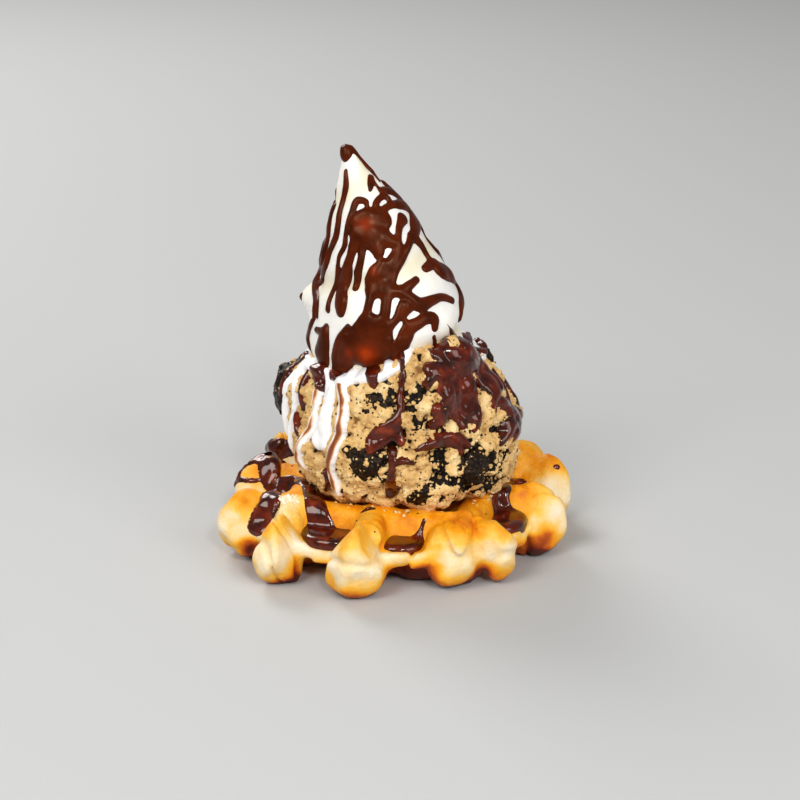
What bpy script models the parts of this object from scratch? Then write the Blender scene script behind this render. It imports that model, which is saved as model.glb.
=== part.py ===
"""A thick yeast waffle with a scoop of cookie dough, a soft-serve swirl and chocolate sauce.

+X is to the right of the eater's view, -Y towards the eater, +Z up.
The origin is on the underside, at the crossing of the waffle's two middle ribs.
"""

import math
import random

import bmesh
import bpy
from mathutils import Euler, Matrix, Vector

MM = 0.001
GAP = 0.3 * MM

# The waffle: three ribs each way between an upper and a lower grid of tapered pockets.
THICKNESS = 22 * MM
RIB_PITCH = 28.5 * MM
RIB_CREST_WIDTH = 9 * MM
RIB_WAIST_WIDTH = 15 * MM
WEB_THICKNESS = 5 * MM
WAFFLE_TURN = Matrix.Rotation(math.radians(-15), 4, "Z")
# A rib's end is a pear: a broad bulb low down, and a slimmer neck that joins it to the crest.
BULB_RADII = Vector((10.5, 10.2, 10.2)) * MM
NECK_RADII = Vector((10, 7.5, 10.4)) * MM
NECK_BACK = 5.5 * MM
BULB_HEIGHT = 10 * MM
# Each rib: the direction it runs, its place in pitches, where its two ends are, and its ends' drift.
RIBS = (
    ("along", -1, -55 * MM, 40 * MM, 0),
    ("along", 0, -58 * MM, 57 * MM, 0),
    ("along", 1, -57 * MM, 53 * MM, 4 * MM),
    ("across", -1, -56 * MM, 51 * MM, 0),
    ("across", 0, -60 * MM, 56 * MM, 2 * MM),
    ("across", 1, -42 * MM, 50 * MM, 0),
)
# The corner nearest the eater bakes as a double knob.
CORNER_BULBS = ((27.5 * MM, -33.5 * MM), (36 * MM, -30.5 * MM))
CORNER_RADII = Vector((9, 9, 9.8)) * MM
WEB_RADIUS = 48 * MM
WEB_SQUARENESS = 3.2
WEB_NOTCH_DEPTH = 14 * MM
WEB_NOTCH_ANGLE = math.radians(-48)
WEB_NOTCH_WIDTH = math.radians(20)

# The scoop of dough: a squat mound of lumps, flat on the waffle and flat under the cream.
DOUGH_CENTRE = Vector((0, 2 * MM, 0))
DOUGH_LEAN = -2.5 * MM
DOUGH_FOOT = THICKNESS + GAP
DOUGH_TOP = 64 * MM
DOUGH_WAIST_HEIGHT = 36 * MM
DOUGH_WAIST_RADIUS = 36 * MM
DOUGH_RISE = 42 * MM
DOUGH_TUCK = 34 * MM
DOUGH_DEPTH_SHARE = 0.94
LUMP_COUNT = 64
LUMP_RADII = (5 * MM, 9 * MM)
CRUMB_COUNT = 70
CRUMB_RADII = (2.2 * MM, 3.6 * MM)

# The soft-serve swirl: a leaning cone over a broader foot, with a helical crease.
SWIRL_FOOT = DOUGH_TOP + GAP
SWIRL_TOP = 134.5 * MM
SWIRL_SHOULDER = 78 * MM
SWIRL_RADIUS = 24.8 * MM
SWIRL_FOOT_FLARE = 1.6 * MM
SWIRL_TAPER = 1.35
SWIRL_START = Vector((-4 * MM, 2 * MM, 0))
SWIRL_LEAN = -13.7 * MM
SWIRL_LEAN_POWER = 1.6
CREASE_PITCH = 27 * MM
CREASE_DEPTH = 2 * MM
CREASE_HEIGHT = 77 * MM
CREASE_WIDTH = 0.16
CURL_CENTRE = Vector((-28, 8, 84)) * MM
CURL_RADII = Vector((5.5, 5.5, 7)) * MM

GOLDEN_ANGLE = math.pi * (3 - math.sqrt(5))


def clear_scene():
    for obj in list(bpy.data.objects):
        bpy.data.objects.remove(obj)


def make_material(name, colour, roughness):
    material = bpy.data.materials.new(name)
    material.use_nodes = True
    shader = material.node_tree.nodes["Principled BSDF"]
    shader.inputs["Base Color"].default_value = (*colour, 1)
    shader.inputs["Roughness"].default_value = roughness
    return material


def add_object(name, bm, material=None):
    mesh = bpy.data.meshes.new(name)
    bm.to_mesh(mesh)
    bm.free()
    if material:
        mesh.materials.append(material)
    obj = bpy.data.objects.new(name, mesh)
    bpy.context.scene.collection.objects.link(obj)
    return obj


def evaluated_triangles(obj):
    graph = bpy.context.evaluated_depsgraph_get()
    mesh = obj.evaluated_get(graph).to_mesh()
    count = sum(len(face.vertices) - 2 for face in mesh.polygons)
    obj.evaluated_get(graph).to_mesh_clear()
    return count


def fuse(obj, voxel, rounding, triangles):
    """Joins the overlapping shapes of obj into one skin, rounds its edges and thins it to a count."""
    remesh = obj.modifiers.new("Join", "REMESH")
    remesh.mode = "VOXEL"
    remesh.voxel_size = voxel
    smooth = obj.modifiers.new("Round", "SMOOTH")
    smooth.factor = 0.5
    smooth.iterations = rounding
    thin = obj.modifiers.new("Thin", "DECIMATE")
    thin.ratio = triangles / evaluated_triangles(obj)


def cut_away(obj, cutter):
    cut = obj.modifiers.new("Cut " + cutter.name, "BOOLEAN")
    cut.operation = "DIFFERENCE"
    cut.object = cutter
    cutter.hide_render = True
    cutter.display_type = "WIRE"


def add_slab_cutter(name, low, high):
    """A block far wider than the food, from one height to another."""
    bm = bmesh.new()
    reach = 200 * MM
    place = Matrix.Translation((0, 0, (low + high) / 2)) @ Matrix.Diagonal((reach, reach, high - low, 1))
    bmesh.ops.create_cube(bm, size=1, matrix=place)
    return add_object(name, bm)


def add_ellipsoid(bm, centre, radii, turn=None, detail=3):
    place = Matrix.Translation(centre) @ (turn or Matrix.Identity(4)) @ Matrix.Diagonal((*radii, 1))
    bmesh.ops.create_icosphere(bm, subdivisions=detail, radius=1, matrix=place)


def add_rings(bm, rings):
    """A closed skin through a stack of rings of points, each ring with as many points."""
    loops = [[bm.verts.new(point) for point in ring] for ring in rings]
    bm.faces.new(list(reversed(loops[0])))
    bm.faces.new(loops[-1])
    for below, above in zip(loops, loops[1:]):
        for i in range(len(below)):
            j = (i + 1) % len(below)
            bm.faces.new((below[i], below[j], above[j], above[i]))


def add_run(bm, points, radius):
    """A thick run of sauce: beads close together along a path, swelling into a drop at its lower end."""
    spacing = radius * 0.6
    for start, end in zip(points, points[1:]):
        count = max(1, round((end - start).length / spacing))
        for i in range(count):
            add_ellipsoid(bm, start.lerp(end, i / count), (radius, radius, radius), detail=1)
    drop = radius * 1.3
    add_ellipsoid(bm, points[-1], (drop, drop, drop), detail=2)


def surface_path(surface, start, end, wander=0.05, steps=8):
    """Points on a turned surface between two places (azimuth in degrees, height in mm), swaying a little."""
    points = []
    for i in range(steps + 1):
        t = i / steps
        azimuth = math.radians(start[0] + (end[0] - start[0]) * t) + wander * math.sin(math.tau * t)
        points.append(surface(azimuth, (start[1] + (end[1] - start[1]) * t) * MM))
    return points


# Waffle

# Sauce on the waffle, in the waffle's own directions: the centre and radii of each pool, in mm.
WAFFLE_POOLS = (
    ((-14.5, -35, 14), (9.5, 11, 3)),
    ((10, -38, 14), (6, 8, 2.8)),
    ((36, -7, 17), (7, 10, 5)),
    ((-37, -34, 14.5), (5, 7, 5)),
    ((-47, 0, 19.5), (11, 7, 4)),
    ((-2.5, -33, 21), (3, 4.5, 1.6)),
)
# Each run over a rib: where it starts and ends, in mm, and its radius.
WAFFLE_RUNS = (
    ((-30, -21, 21.5), (-21, -30, 15), 2.2),
    ((-50, -2, 21.5), (-50, -12, 14), 2.4),
    ((36, 2, 21.5), (37, -9, 15), 2.6),
    ((13, -24, 21), (12, -35, 14.5), 1.6),
    ((-42, 5, 21.5), (-36, 14, 15), 2),
    ((-30, 36, 21), (-38, 41, 14.5), 2),
    ((30, 34, 21), (38, 40, 14.5), 2.2),
)


def add_rib(bm, direction, place, start, end, drift):
    """One rib: a bar that is broadest at mid-height, with a pear of risen dough at each end."""
    turn = WAFFLE_TURN
    if direction == "across":
        turn = turn @ Matrix.Rotation(math.radians(90), 4, "Z")
        place = -place
    crest, waist, middle = RIB_CREST_WIDTH / 2, RIB_WAIST_WIDTH / 2, THICKNESS / 2
    foot = -0.5 * MM
    section = (
        (-crest, foot), (crest, foot), (waist, middle),
        (crest, THICKNESS), (-crest, THICKNESS), (-waist, middle),
    )
    reach = BULB_RADII.x + NECK_BACK
    middle_line = place * RIB_PITCH
    rings = [
        [turn @ Vector((x, middle_line + y, z)) for y, z in section]
        for x in (start + reach, end - reach)
    ]
    add_rings(bm, rings)
    for tip, inward, shift in ((start, 1, drift), (end, -1, 0)):
        bulb = Vector((tip + inward * BULB_RADII.x, middle_line + shift, BULB_HEIGHT))
        neck = Vector((tip + inward * reach, middle_line + shift / 2, THICKNESS / 2))
        add_ellipsoid(bm, turn @ bulb, BULB_RADII, turn)
        add_ellipsoid(bm, turn @ neck, NECK_RADII, turn)


def add_web(bm):
    """The thin floor between the pockets: a rounded square, set back at the corner nearest the eater."""
    low, high = (THICKNESS - WEB_THICKNESS) / 2, (THICKNESS + WEB_THICKNESS) / 2
    steps = 48
    rings = []
    for z in (low, high):
        ring = []
        for i in range(steps):
            a = math.tau * i / steps
            c, s = math.cos(a), math.sin(a)
            radius = WEB_RADIUS / (abs(c) ** WEB_SQUARENESS + abs(s) ** WEB_SQUARENESS) ** (1 / WEB_SQUARENESS)
            away = math.remainder(a - WEB_NOTCH_ANGLE, math.tau) / WEB_NOTCH_WIDTH
            radius -= WEB_NOTCH_DEPTH * math.exp(-away * away)
            ring.append(WAFFLE_TURN @ Vector((radius * c, radius * s, z)))
        rings.append(ring)
    add_rings(bm, rings)


def make_waffle(material):
    bm = bmesh.new()
    for rib in RIBS:
        add_rib(bm, *rib)
    for x, y in CORNER_BULBS:
        add_ellipsoid(bm, WAFFLE_TURN @ Vector((x, y, BULB_HEIGHT)), CORNER_RADII, WAFFLE_TURN)
    add_web(bm)
    for centre, radii in WAFFLE_POOLS:
        add_ellipsoid(bm, WAFFLE_TURN @ (Vector(centre) * MM), Vector(radii) * MM, WAFFLE_TURN)
    for start, end, radius in WAFFLE_RUNS:
        add_run(bm, [WAFFLE_TURN @ (Vector(point) * MM) for point in (start, end)], radius * MM)
    waffle = add_object("waffle", bm, material)
    fuse(waffle, voxel=1 * MM, rounding=4, triangles=3700)
    cut_away(waffle, add_slab_cutter("floor_cutter", -10 * MM, 0))
    return waffle


# Dough

# Melted cream and sauce that run down the mound: start and end (azimuth, height in mm), radius in mm.
DOUGH_RUNS = (
    ((-176, 62), (-166, 30), 2.2),
    ((-160, 61), (-155, 47), 2.4),
    ((-140, 61), (-137, 43), 3.4),
    ((-142, 48), (-146, 29), 2),
    ((-128, 62), (-127, 27), 2.4),
    ((-84, 64), (-86, 50), 1.8),
    ((-90, 46), (-91, 26), 2.6),
    ((-62, 64), (-74, 58), 1.8),
    ((-58, 63), (-55, 46), 2.6),
    ((-36, 62), (-45, 42), 2.2),
    ((-24, 60), (-5, 34), 2),
    ((-82, 45), (-57, 47), 1.8),
    ((50, 63), (50, 42), 2),
    ((82, 62), (81, 33), 2),
    ((117, 63), (116, 51), 2),
    ((152, 62), (154, 35), 2.4),
)
# Each chunk of dark cookie: azimuth, height in mm, radii in mm out of, around and up the mound.
COOKIE_CHUNKS = (
    (169, 48.5, (7, 5.5, 8.4)),
    (34, 56.5, (5, 5.2, 4.8)),
    (-100, 57, (4.4, 4.4, 4.2)),
    (-107, 39, (4.8, 4.6, 5.6)),
    (-74, 28.5, (4.4, 4.6, 3.8)),
    (-50, 34, (5, 5, 5)),
    (9, 45, (4.8, 4.6, 4.6)),
    (66, 50, (5, 5, 4.6)),
    (101, 41, (5.2, 5, 5.4)),
    (134, 54, (4.8, 4.8, 4.6)),
)
CHUNK_SQUARENESS = 4
CHUNK_ROUGHNESS = 0.13


def dough_radius(z):
    """The mound's radius at a height: an ellipse above its waist and another below."""
    span = DOUGH_RISE if z > DOUGH_WAIST_HEIGHT else DOUGH_TUCK
    share = (z - DOUGH_WAIST_HEIGHT) / span
    return DOUGH_WAIST_RADIUS * math.sqrt(1 - share * share)


def dough_point(azimuth, z, proud=0.0):
    """A point on the mound, which leans a little to the left as it rises."""
    radius = dough_radius(z) + proud
    lean = DOUGH_LEAN * (z - DOUGH_FOOT) / (DOUGH_TOP - DOUGH_FOOT)
    across, deep = radius * math.cos(azimuth) + lean, DOUGH_DEPTH_SHARE * radius * math.sin(azimuth)
    return DOUGH_CENTRE + Vector((across, deep, z))


def scatter_lumps(bm, count, radii, sunk, rng):
    """Lumps of dough spread evenly over the mound by the golden angle, each sunk by a share of its radius."""
    low, high = DOUGH_FOOT - 1 * MM, DOUGH_TOP - 1 * MM
    for i in range(count):
        z = low + (high - low) * (i + 0.5) / count
        radius = rng.uniform(*radii)
        azimuth = GOLDEN_ANGLE * i + rng.uniform(-0.2, 0.2)
        centre = dough_point(azimuth, z, -rng.uniform(*sunk) * radius)
        stretch = (radius * rng.uniform(0.8, 1.25), radius, radius * rng.uniform(0.55, 0.95))
        tilt = Matrix.Rotation(azimuth + math.pi / 2, 4, "Z") @ Matrix.Rotation(rng.uniform(-0.6, 0.6), 4, "Y")
        add_ellipsoid(bm, centre, stretch, tilt, detail=2)


def add_chunk(name, azimuth, z, radii, material, seed, swell=0.0):
    """A broken cookie chunk: a ball squared into a tilted block with uneven corners, half in the mound."""
    rng = random.Random(seed)
    bm = bmesh.new()
    bmesh.ops.create_icosphere(bm, subdivisions=2, radius=1)
    azimuth = math.radians(azimuth)
    place = Matrix.Translation(dough_point(azimuth, z * MM)) @ Matrix.Rotation(azimuth, 4, "Z")
    tilt = Euler([rng.uniform(-0.7, 0.7) for _ in "xyz"]).to_matrix()
    for vert in bm.verts:
        block = sum(abs(c) ** CHUNK_SQUARENESS for c in vert.co) ** (1 / CHUNK_SQUARENESS)
        corner = tilt @ (vert.co / block) * (1 + rng.uniform(-CHUNK_ROUGHNESS, CHUNK_ROUGHNESS))
        vert.co = place @ Vector([c * (radius * MM + swell) for c, radius in zip(corner, radii)])
    return add_object(name, bm, material)


def make_dough(dough_material, cookie_material):
    rng = random.Random(11)
    bm = bmesh.new()
    steps, levels = 48, 14
    low, high = DOUGH_FOOT - 2 * MM, DOUGH_TOP + 2 * MM
    heights = [low + (high - low) * i / levels for i in range(levels + 1)]
    add_rings(bm, [[dough_point(math.tau * i / steps, z) for i in range(steps)] for z in heights])
    scatter_lumps(bm, LUMP_COUNT, LUMP_RADII, (0.62, 0.86), rng)
    scatter_lumps(bm, CRUMB_COUNT, CRUMB_RADII, (-0.3, 0.2), rng)
    for start, end, radius in DOUGH_RUNS:
        add_run(bm, surface_path(dough_point, start, end), radius * MM)
    dough = add_object("cookie_dough", bm, dough_material)
    fuse(dough, voxel=1 * MM, rounding=2, triangles=2900)
    cut_away(dough, add_slab_cutter("dough_foot_cutter", 0, DOUGH_FOOT))
    cut_away(dough, add_slab_cutter("dough_top_cutter", DOUGH_TOP, DOUGH_TOP + 20 * MM))
    for number, (azimuth, z, radii) in enumerate(COOKIE_CHUNKS, 1):
        add_chunk(f"cookie_chunk_{number}", azimuth, z, radii, cookie_material, number)
        socket = add_chunk(f"chunk_socket_{number}", azimuth, z, radii, None, number, swell=1.4 * GAP)
        cut_away(dough, socket)
    return dough


# Soft serve

# Chocolate that has set on the cream: start and end (azimuth, height in mm), radius in mm.
SWIRL_RUNS = (
    ((0, 129), (14, 121), 1.2),
    ((13, 119), (12, 98), 1.6),
    ((178, 112), (179, 68), 1.8),
    ((-121, 124), (-141, 114), 1.2),
    ((-141, 114), (-160, 80), 1.4),
    ((-98, 118), (-140, 92), 1.3),
    ((-108, 112), (-130, 86), 2),
    ((-104, 107), (-114, 93), 1.6),
    ((-60, 115), (12, 113), 1.6),
    ((-10, 108), (-22, 98), 2),
    ((-39, 108), (-84, 96), 1.8),
    ((-80, 93), (-22, 85), 2),
    ((-10, 96), (0, 80), 2.6),
    ((-48, 82), (-84, 68), 2.8),
    ((-90, 92), (-89, 81), 1.6),
    ((-102, 91), (-114, 80), 1.6),
    ((-144, 79), (-144, 67), 3),
    ((-126, 80), (-131, 67), 2.2),
    ((30, 112), (38, 76), 1.8),
    ((62, 116), (60, 84), 1.6),
    ((84, 108), (90, 70), 2),
    ((112, 118), (118, 88), 1.6),
    ((136, 104), (140, 72), 2),
    ((158, 116), (160, 90), 1.5),
)
# Where the chocolate pooled: azimuth, height in mm, radii in mm out of, around and up the cream.
SWIRL_POOLS = (
    (-90, 108, (1.8, 5, 7)),
    (-85, 95, (1.8, 5, 6)),
    (-108, 74, (2, 8.5, 9)),
    (-14, 94, (2, 5, 4)),
    (75, 98, (1.8, 6, 6)),
    (128, 80, (1.8, 6, 6)),
)


def swirl_point(azimuth, z, proud=0.0):
    """A point of the cone: its radius falls towards the peak, less a crease that climbs one pitch a turn."""
    share = min(1.0, max(0.0, (z - SWIRL_SHOULDER) / (SWIRL_TOP - SWIRL_SHOULDER)))
    radius = SWIRL_RADIUS * (1 - share**SWIRL_TAPER)
    flare = max(0.0, (SWIRL_SHOULDER - z) / (SWIRL_SHOULDER - SWIRL_FOOT))
    radius += SWIRL_FOOT_FLARE * math.sqrt(min(1.0, flare))
    turns = (z - CREASE_HEIGHT) / CREASE_PITCH - azimuth / math.tau
    crease = math.exp(-((math.remainder(turns, 1) / CREASE_WIDTH) ** 2))
    radius -= CREASE_DEPTH * crease * radius / SWIRL_RADIUS
    radius = max(0.4 * MM, radius) + proud
    lean = Vector((SWIRL_LEAN * share**SWIRL_LEAN_POWER, 0, z))
    return SWIRL_START + lean + Vector((radius * math.cos(azimuth), radius * math.sin(azimuth), 0))


def make_soft_serve(material):
    bm = bmesh.new()
    steps, levels = 64, 48
    low = SWIRL_FOOT - 2 * MM
    heights = [low + (SWIRL_TOP - low) * i / levels for i in range(levels + 1)]
    add_rings(bm, [[swirl_point(math.tau * i / steps, z) for i in range(steps)] for z in heights])
    add_ellipsoid(bm, CURL_CENTRE, CURL_RADII)
    for start, end, radius in SWIRL_RUNS:
        add_run(bm, surface_path(swirl_point, start, end), radius * MM)
    for azimuth, z, radii in SWIRL_POOLS:
        turn = Matrix.Rotation(math.radians(azimuth), 4, "Z")
        add_ellipsoid(bm, swirl_point(math.radians(azimuth), z * MM), Vector(radii) * MM, turn)
    swirl = add_object("soft_serve", bm, material)
    fuse(swirl, voxel=0.8 * MM, rounding=2, triangles=3700)
    cut_away(swirl, add_slab_cutter("swirl_foot_cutter", 0, SWIRL_FOOT))
    return swirl


clear_scene()
make_waffle(make_material("baked_batter", (0.85, 0.52, 0.16), 0.6))
make_dough(
    make_material("cookie_dough", (0.60, 0.42, 0.24), 0.7),
    make_material("dark_cookie", (0.03, 0.02, 0.018), 0.75),
)
make_soft_serve(make_material("vanilla_cream", (0.92, 0.90, 0.84), 0.4))
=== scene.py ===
"""Looks of a thick yeast waffle with cookie dough, a soft-serve swirl and chocolate sauce.

Shapes are worked out in millimetres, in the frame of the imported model, and put into meshes in metres.
"""

import math
from itertools import product

import bpy
import numpy as np
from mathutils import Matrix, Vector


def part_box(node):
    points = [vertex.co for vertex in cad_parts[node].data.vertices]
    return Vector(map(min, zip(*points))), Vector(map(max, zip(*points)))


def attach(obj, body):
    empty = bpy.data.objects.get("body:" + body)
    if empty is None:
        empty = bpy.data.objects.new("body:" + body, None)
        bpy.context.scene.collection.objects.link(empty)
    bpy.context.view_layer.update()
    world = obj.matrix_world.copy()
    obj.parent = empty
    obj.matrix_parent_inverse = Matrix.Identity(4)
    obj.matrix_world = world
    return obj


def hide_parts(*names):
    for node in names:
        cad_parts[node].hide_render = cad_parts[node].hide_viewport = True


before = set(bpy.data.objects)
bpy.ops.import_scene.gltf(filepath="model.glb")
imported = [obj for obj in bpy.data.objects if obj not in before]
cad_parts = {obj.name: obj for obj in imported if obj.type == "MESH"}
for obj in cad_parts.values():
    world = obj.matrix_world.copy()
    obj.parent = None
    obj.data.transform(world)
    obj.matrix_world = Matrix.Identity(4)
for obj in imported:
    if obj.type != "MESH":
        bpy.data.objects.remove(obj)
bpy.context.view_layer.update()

# Camera
# A long lens looks down on the table a little, from in front. The photo's own pixels place what it shows:
# a pixel is turned into a ray, and the ray is followed to the surface that carries the thing.

FRAME_PX = 800
FOCAL_PX = 2270
ORIGIN_PX = np.array((401, 536))
VIEW_DISTANCE = 766
VIEW_ELEVATION = math.radians(23.1)
SENSOR_WIDTH = 36
# Between which distances from the eye a ray is searched for a surface, and in what steps, in mm.
RAY_SEARCH = (640, 860, 0.3)
camera_pitch = VIEW_ELEVATION - math.atan((ORIGIN_PX[1] - FRAME_PX / 2) / FOCAL_PX)
camera_slide = (FRAME_PX / 2 - ORIGIN_PX[0]) / FOCAL_PX * VIEW_DISTANCE
camera_eye = np.array((
    camera_slide,
    -VIEW_DISTANCE * math.cos(VIEW_ELEVATION),
    VIEW_DISTANCE * math.sin(VIEW_ELEVATION),
))

camera_data = bpy.data.cameras.new("camera")
camera_data.sensor_width = SENSOR_WIDTH
camera_data.lens = SENSOR_WIDTH * FOCAL_PX / FRAME_PX
camera_data.clip_end = 20
camera = bpy.data.objects.new("camera", camera_data)
camera.location = camera_eye / 1000
camera.rotation_euler = (math.pi / 2 - camera_pitch, 0, 0)
bpy.context.scene.collection.objects.link(camera)
bpy.context.scene.camera = camera


def photo_rays(pixels):
    """Unit directions from the eye through pixels of the photo, as an array of x, y, z rows."""
    across, down = (np.asarray(pixels, float) - FRAME_PX / 2).T / FOCAL_PX
    forward = np.array((0, math.cos(camera_pitch), -math.sin(camera_pitch)))
    below = np.array((0, -math.sin(camera_pitch), -math.cos(camera_pitch)))
    rays = forward + across[:, None] * np.array((1, 0, 0)) + down[:, None] * below
    return rays / np.linalg.norm(rays, axis=1, keepdims=True)


def seen_point(pixels, depth):
    """Where rays through pixels first meet a surface, given its depth function (mm, negative inside).

    A ray that misses is given the place where it comes nearest, so a mark on the outline stays on it.
    """
    reach = np.arange(*RAY_SEARCH)
    rays = photo_rays(pixels)
    points = camera_eye + reach[None, :, None] * rays[:, None, :]
    values = depth(points.reshape(-1, 3)).reshape(points.shape[:2])
    inside = values < 0
    first = np.where(inside.any(1), inside.argmax(1), values.argmin(1))
    return points[np.arange(len(rays)), first]


def seen_marks(marks, depth):
    """Marks drawn on the photo, each as the place where it falls on a surface and what else it states."""
    spots = seen_point(np.array(marks)[:, :2], depth)
    return [(spot, *mark[2:]) for spot, mark in zip(spots, marks)]


# Floor and light
# A pale seamless paper floor under one large soft box on the left, with weaker ones to fill the shade, and
# a small lamp in front that gives the wet sauce its sparkle.

FLOOR_COLOUR = "#BEBEBC"
FLOOR_REACH = 6
FLOOR_DROP = 0.0002
FOOD_MIDDLE = np.array((0, 0, 0.06))
# Each soft box: where it stands in metres, its width in metres and its power in watts.
SOFT_BOXES = {
    "key": ((-0.65, -0.9, 1.0), 0.65, 11),
    "sparkle": ((0.3, -1.2, 0.95), 0.19, 6.5),
    "fill": ((1.0, -1.0, 0.75), 0.8, 8.5),
    "back": ((-0.6, 0.9, 0.9), 0.6, 10),
}
ROOM_BRIGHTNESS = 0.32
ROOM_COLOUR = "#F2F3F5"


def linear_colour(code):
    """An sRGB hex code as linear red, green, blue and alpha."""
    parts = [int(code[i:i + 2], 16) / 255 for i in (1, 3, 5)]
    return tuple(c / 12.92 if c <= 0.04045 else ((c + 0.055) / 1.055) ** 2.4 for c in parts) + (1,)


def add_node(tree, kind, sockets=None, stops=None, **settings):
    """Adds a node. Each socket takes a value or another node's output; stops are (place, hex colour)."""
    node = tree.nodes.new("ShaderNode" + kind)
    for name, value in settings.items():
        setattr(node, name, value)
    for name, value in (sockets or {}).items():
        if isinstance(value, bpy.types.NodeSocket):
            tree.links.new(value, node.inputs[name])
        else:
            node.inputs[name].default_value = value
    for number, (place, code) in enumerate(stops or ()):
        elements = node.color_ramp.elements
        element = elements[number] if number < len(elements) else elements.new(place)
        element.position = place
        element.color = linear_colour(code)
    return node


def new_material(name, **sockets):
    """A material with one Principled shader, whose sockets are set by name with underscores for spaces."""
    material = bpy.data.materials.new(name)
    material.use_nodes = True
    shader = material.node_tree.nodes["Principled BSDF"]
    for key, value in sockets.items():
        shader.inputs[key.replace("_", " ")].default_value = value
    return material, material.node_tree


def finish_material(tree, colour, height=None, strength=0, distance=0):
    """Links a colour to the shader and, where there is a height, a bump that far in and out in metres."""
    shader = tree.nodes["Principled BSDF"]
    tree.links.new(colour, shader.inputs["Base Color"])
    if height is not None:
        bump = add_node(tree, "Bump", {"Height": height, "Strength": strength, "Distance": distance})
        tree.links.new(bump.outputs["Normal"], shader.inputs["Normal"])


floor_paper, _ = new_material("floor_paper", Roughness=0.75, Base_Color=linear_colour(FLOOR_COLOUR))
floor_mesh = bpy.data.meshes.new("floor")
floor_mesh.from_pydata(
    [(x * FLOOR_REACH, y * FLOOR_REACH, -FLOOR_DROP) for x, y in ((-1, -1), (1, -1), (1, 1), (-1, 1))],
    [], [(0, 1, 2, 3)],
)
floor_mesh.materials.append(floor_paper)
floor = bpy.data.objects.new("floor", floor_mesh)
bpy.context.scene.collection.objects.link(floor)

for name, (place, width, power) in SOFT_BOXES.items():
    light = bpy.data.lights.new(name, "AREA")
    light.size = width
    light.energy = power
    lamp = bpy.data.objects.new(name, light)
    lamp.location = place
    to_food = FOOD_MIDDLE - np.array(place)
    heading = math.atan2(to_food[1], to_food[0])
    drop = math.atan2(-to_food[2], math.hypot(to_food[0], to_food[1]))
    lamp.rotation_euler = (math.pi / 2 - drop, 0, heading - math.pi / 2)
    bpy.context.scene.collection.objects.link(lamp)

room = bpy.data.worlds.new("room")
room.use_nodes = True
room.node_tree.nodes["Background"].inputs["Color"].default_value = linear_colour(ROOM_COLOUR)
room.node_tree.nodes["Background"].inputs["Strength"].default_value = ROOM_BRIGHTNESS
bpy.context.scene.world = room
bpy.context.scene.view_settings.view_transform = "Standard"

# Waffle
# Yeast dough with pearl sugar, pressed in a hot iron with raised pegs: golden on the ribs, darkest at
# the lower edges, pale where the risen ends were squeezed out of the iron. The fat, rounded joins of
# ribs and ends have no grid of their own, so the skin is taken from a sampled depth field.

THICKNESS = 22
RIB_PITCH = 28.5
RIB_CREST_HALF = 3.8
RIB_WAIST_HALF = 7.6
WEB_HALF = 2.1
WAFFLE_TURN = math.radians(-15)
BULB_RADII = np.array((10.8, 10.8, 11.9))
NECK_RADII = np.array((10, 6.8, 10.6))
NECK_BACK = 5.5
BULB_HEIGHT = 11
# Each rib: does it run along the waffle, its place in pitches, where its ends are, their drift, and
# the girth of each end against the usual one.
RIBS = (
    (True, -1, -55, 40, 0, 1.0, 0.8),
    (True, 0, -58, 57, 0, 1.06, 0.95),
    (True, 1, -57, 53, 4, 0.94, 1.04),
    (False, -1, -56, 51, 0, 0.78, 1.05),
    (False, 0, -60, 56, 2, 0.98, 0.9),
    (False, 1, -42, 50, 0, 0.8, 1.02),
)
# The corner nearest the eater bakes as two lobes with a ledge between them, and a low wall stands under the
# web beside it. Three ends at the back rose higher than the rest. Each has its place and radii.
CORNER_BULBS = (
    ((25.8, -34.6, 10.8), np.array((9.8, 9, 11))),
    ((38.4, -28, 10.5), np.array((7.6, 7.8, 10.6))),
    ((31.5, -29.5, 15), np.array((9, 7.5, 6.2))),
    ((13.5, -33, 6.5), np.array((9, 4.5, 6.5))),
    ((34, 38, 12.5), np.array((9.5, 9.5, 11.5))),
    ((-47, 30, 12.5), np.array((9.5, 9, 11.5))),
    ((-48, 2, 12.5), np.array((9, 9, 11.5))),
)
WEB_RADIUS = 48
WEB_SQUARENESS = 3.2
WEB_NOTCH_DEPTH = 9.5
WEB_LIP = 0.5
WEB_LIP_WIDTH = 1.8
WEB_NOTCH_ANGLE = math.radians(-48)
WEB_NOTCH_WIDTH = math.radians(20)
WEB_ROUNDING = 1.5
RIB_FLANK_SLOPE = 0.95
RIB_ROUNDING = 3.2
RIB_END_ROUNDING = 1
# How broadly forms run into each other in mm: an end and its neck, both and their bar, the bar and the web,
# and the corner's lobes and all the rest.
BULB_JOIN = 3
NECK_JOIN = 1.8
RIB_JOIN = 2.2
CORNER_JOIN = 1
WAFFLE_LOW = np.array((-64, -61, -1.5))
WAFFLE_HIGH = np.array((63, 61, 25))
WAFFLE_STEP = 0.8
# Where the crust is darker or paler than its height alone makes it: pixels of the photo, radius in mm, and
# how much darker. Most are the crust's own bake; the two under the web's front lip are painted shade.
BAKE_AND_SHADE_MARKS = (
    (290, 540, 4, -0.1), (283, 506, 7, -0.4), (293, 577, 3.2, 0.3), (306, 540, 4, 0.12),
    (365, 530, 6, -0.14), (352, 596, 5, 0.1), (342, 577, 4, 0.1), (330, 560, 4, -0.08),
    (478, 536, 3.4, 0.12), (483, 573, 4, 0.35), (500, 572, 4, 0.16), (450, 550, 5, -0.05),
    # Painted shade: the first two marks on the next line darken the shaded gap under the web's front lip.
    (400, 572, 5, 0.42), (425, 574, 5, 0.36), (540, 546, 8, 0.34), (557, 534, 6, 0.26),
    (520, 545, 6, 0.26), (548, 528, 4, 0.18), (352, 593, 5, 0.1),
    (552, 508, 7, -0.24), (568, 480, 6, -0.04), (228, 510, 6, -0.08), (250, 506, 5, 0.12),
    (240, 545, 6, 0.22), (520, 470, 9, -0.03), (540, 462, 9, 0.02), (362, 518, 5, -0.12),
)
PEAR_FOOT = 1.03
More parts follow.
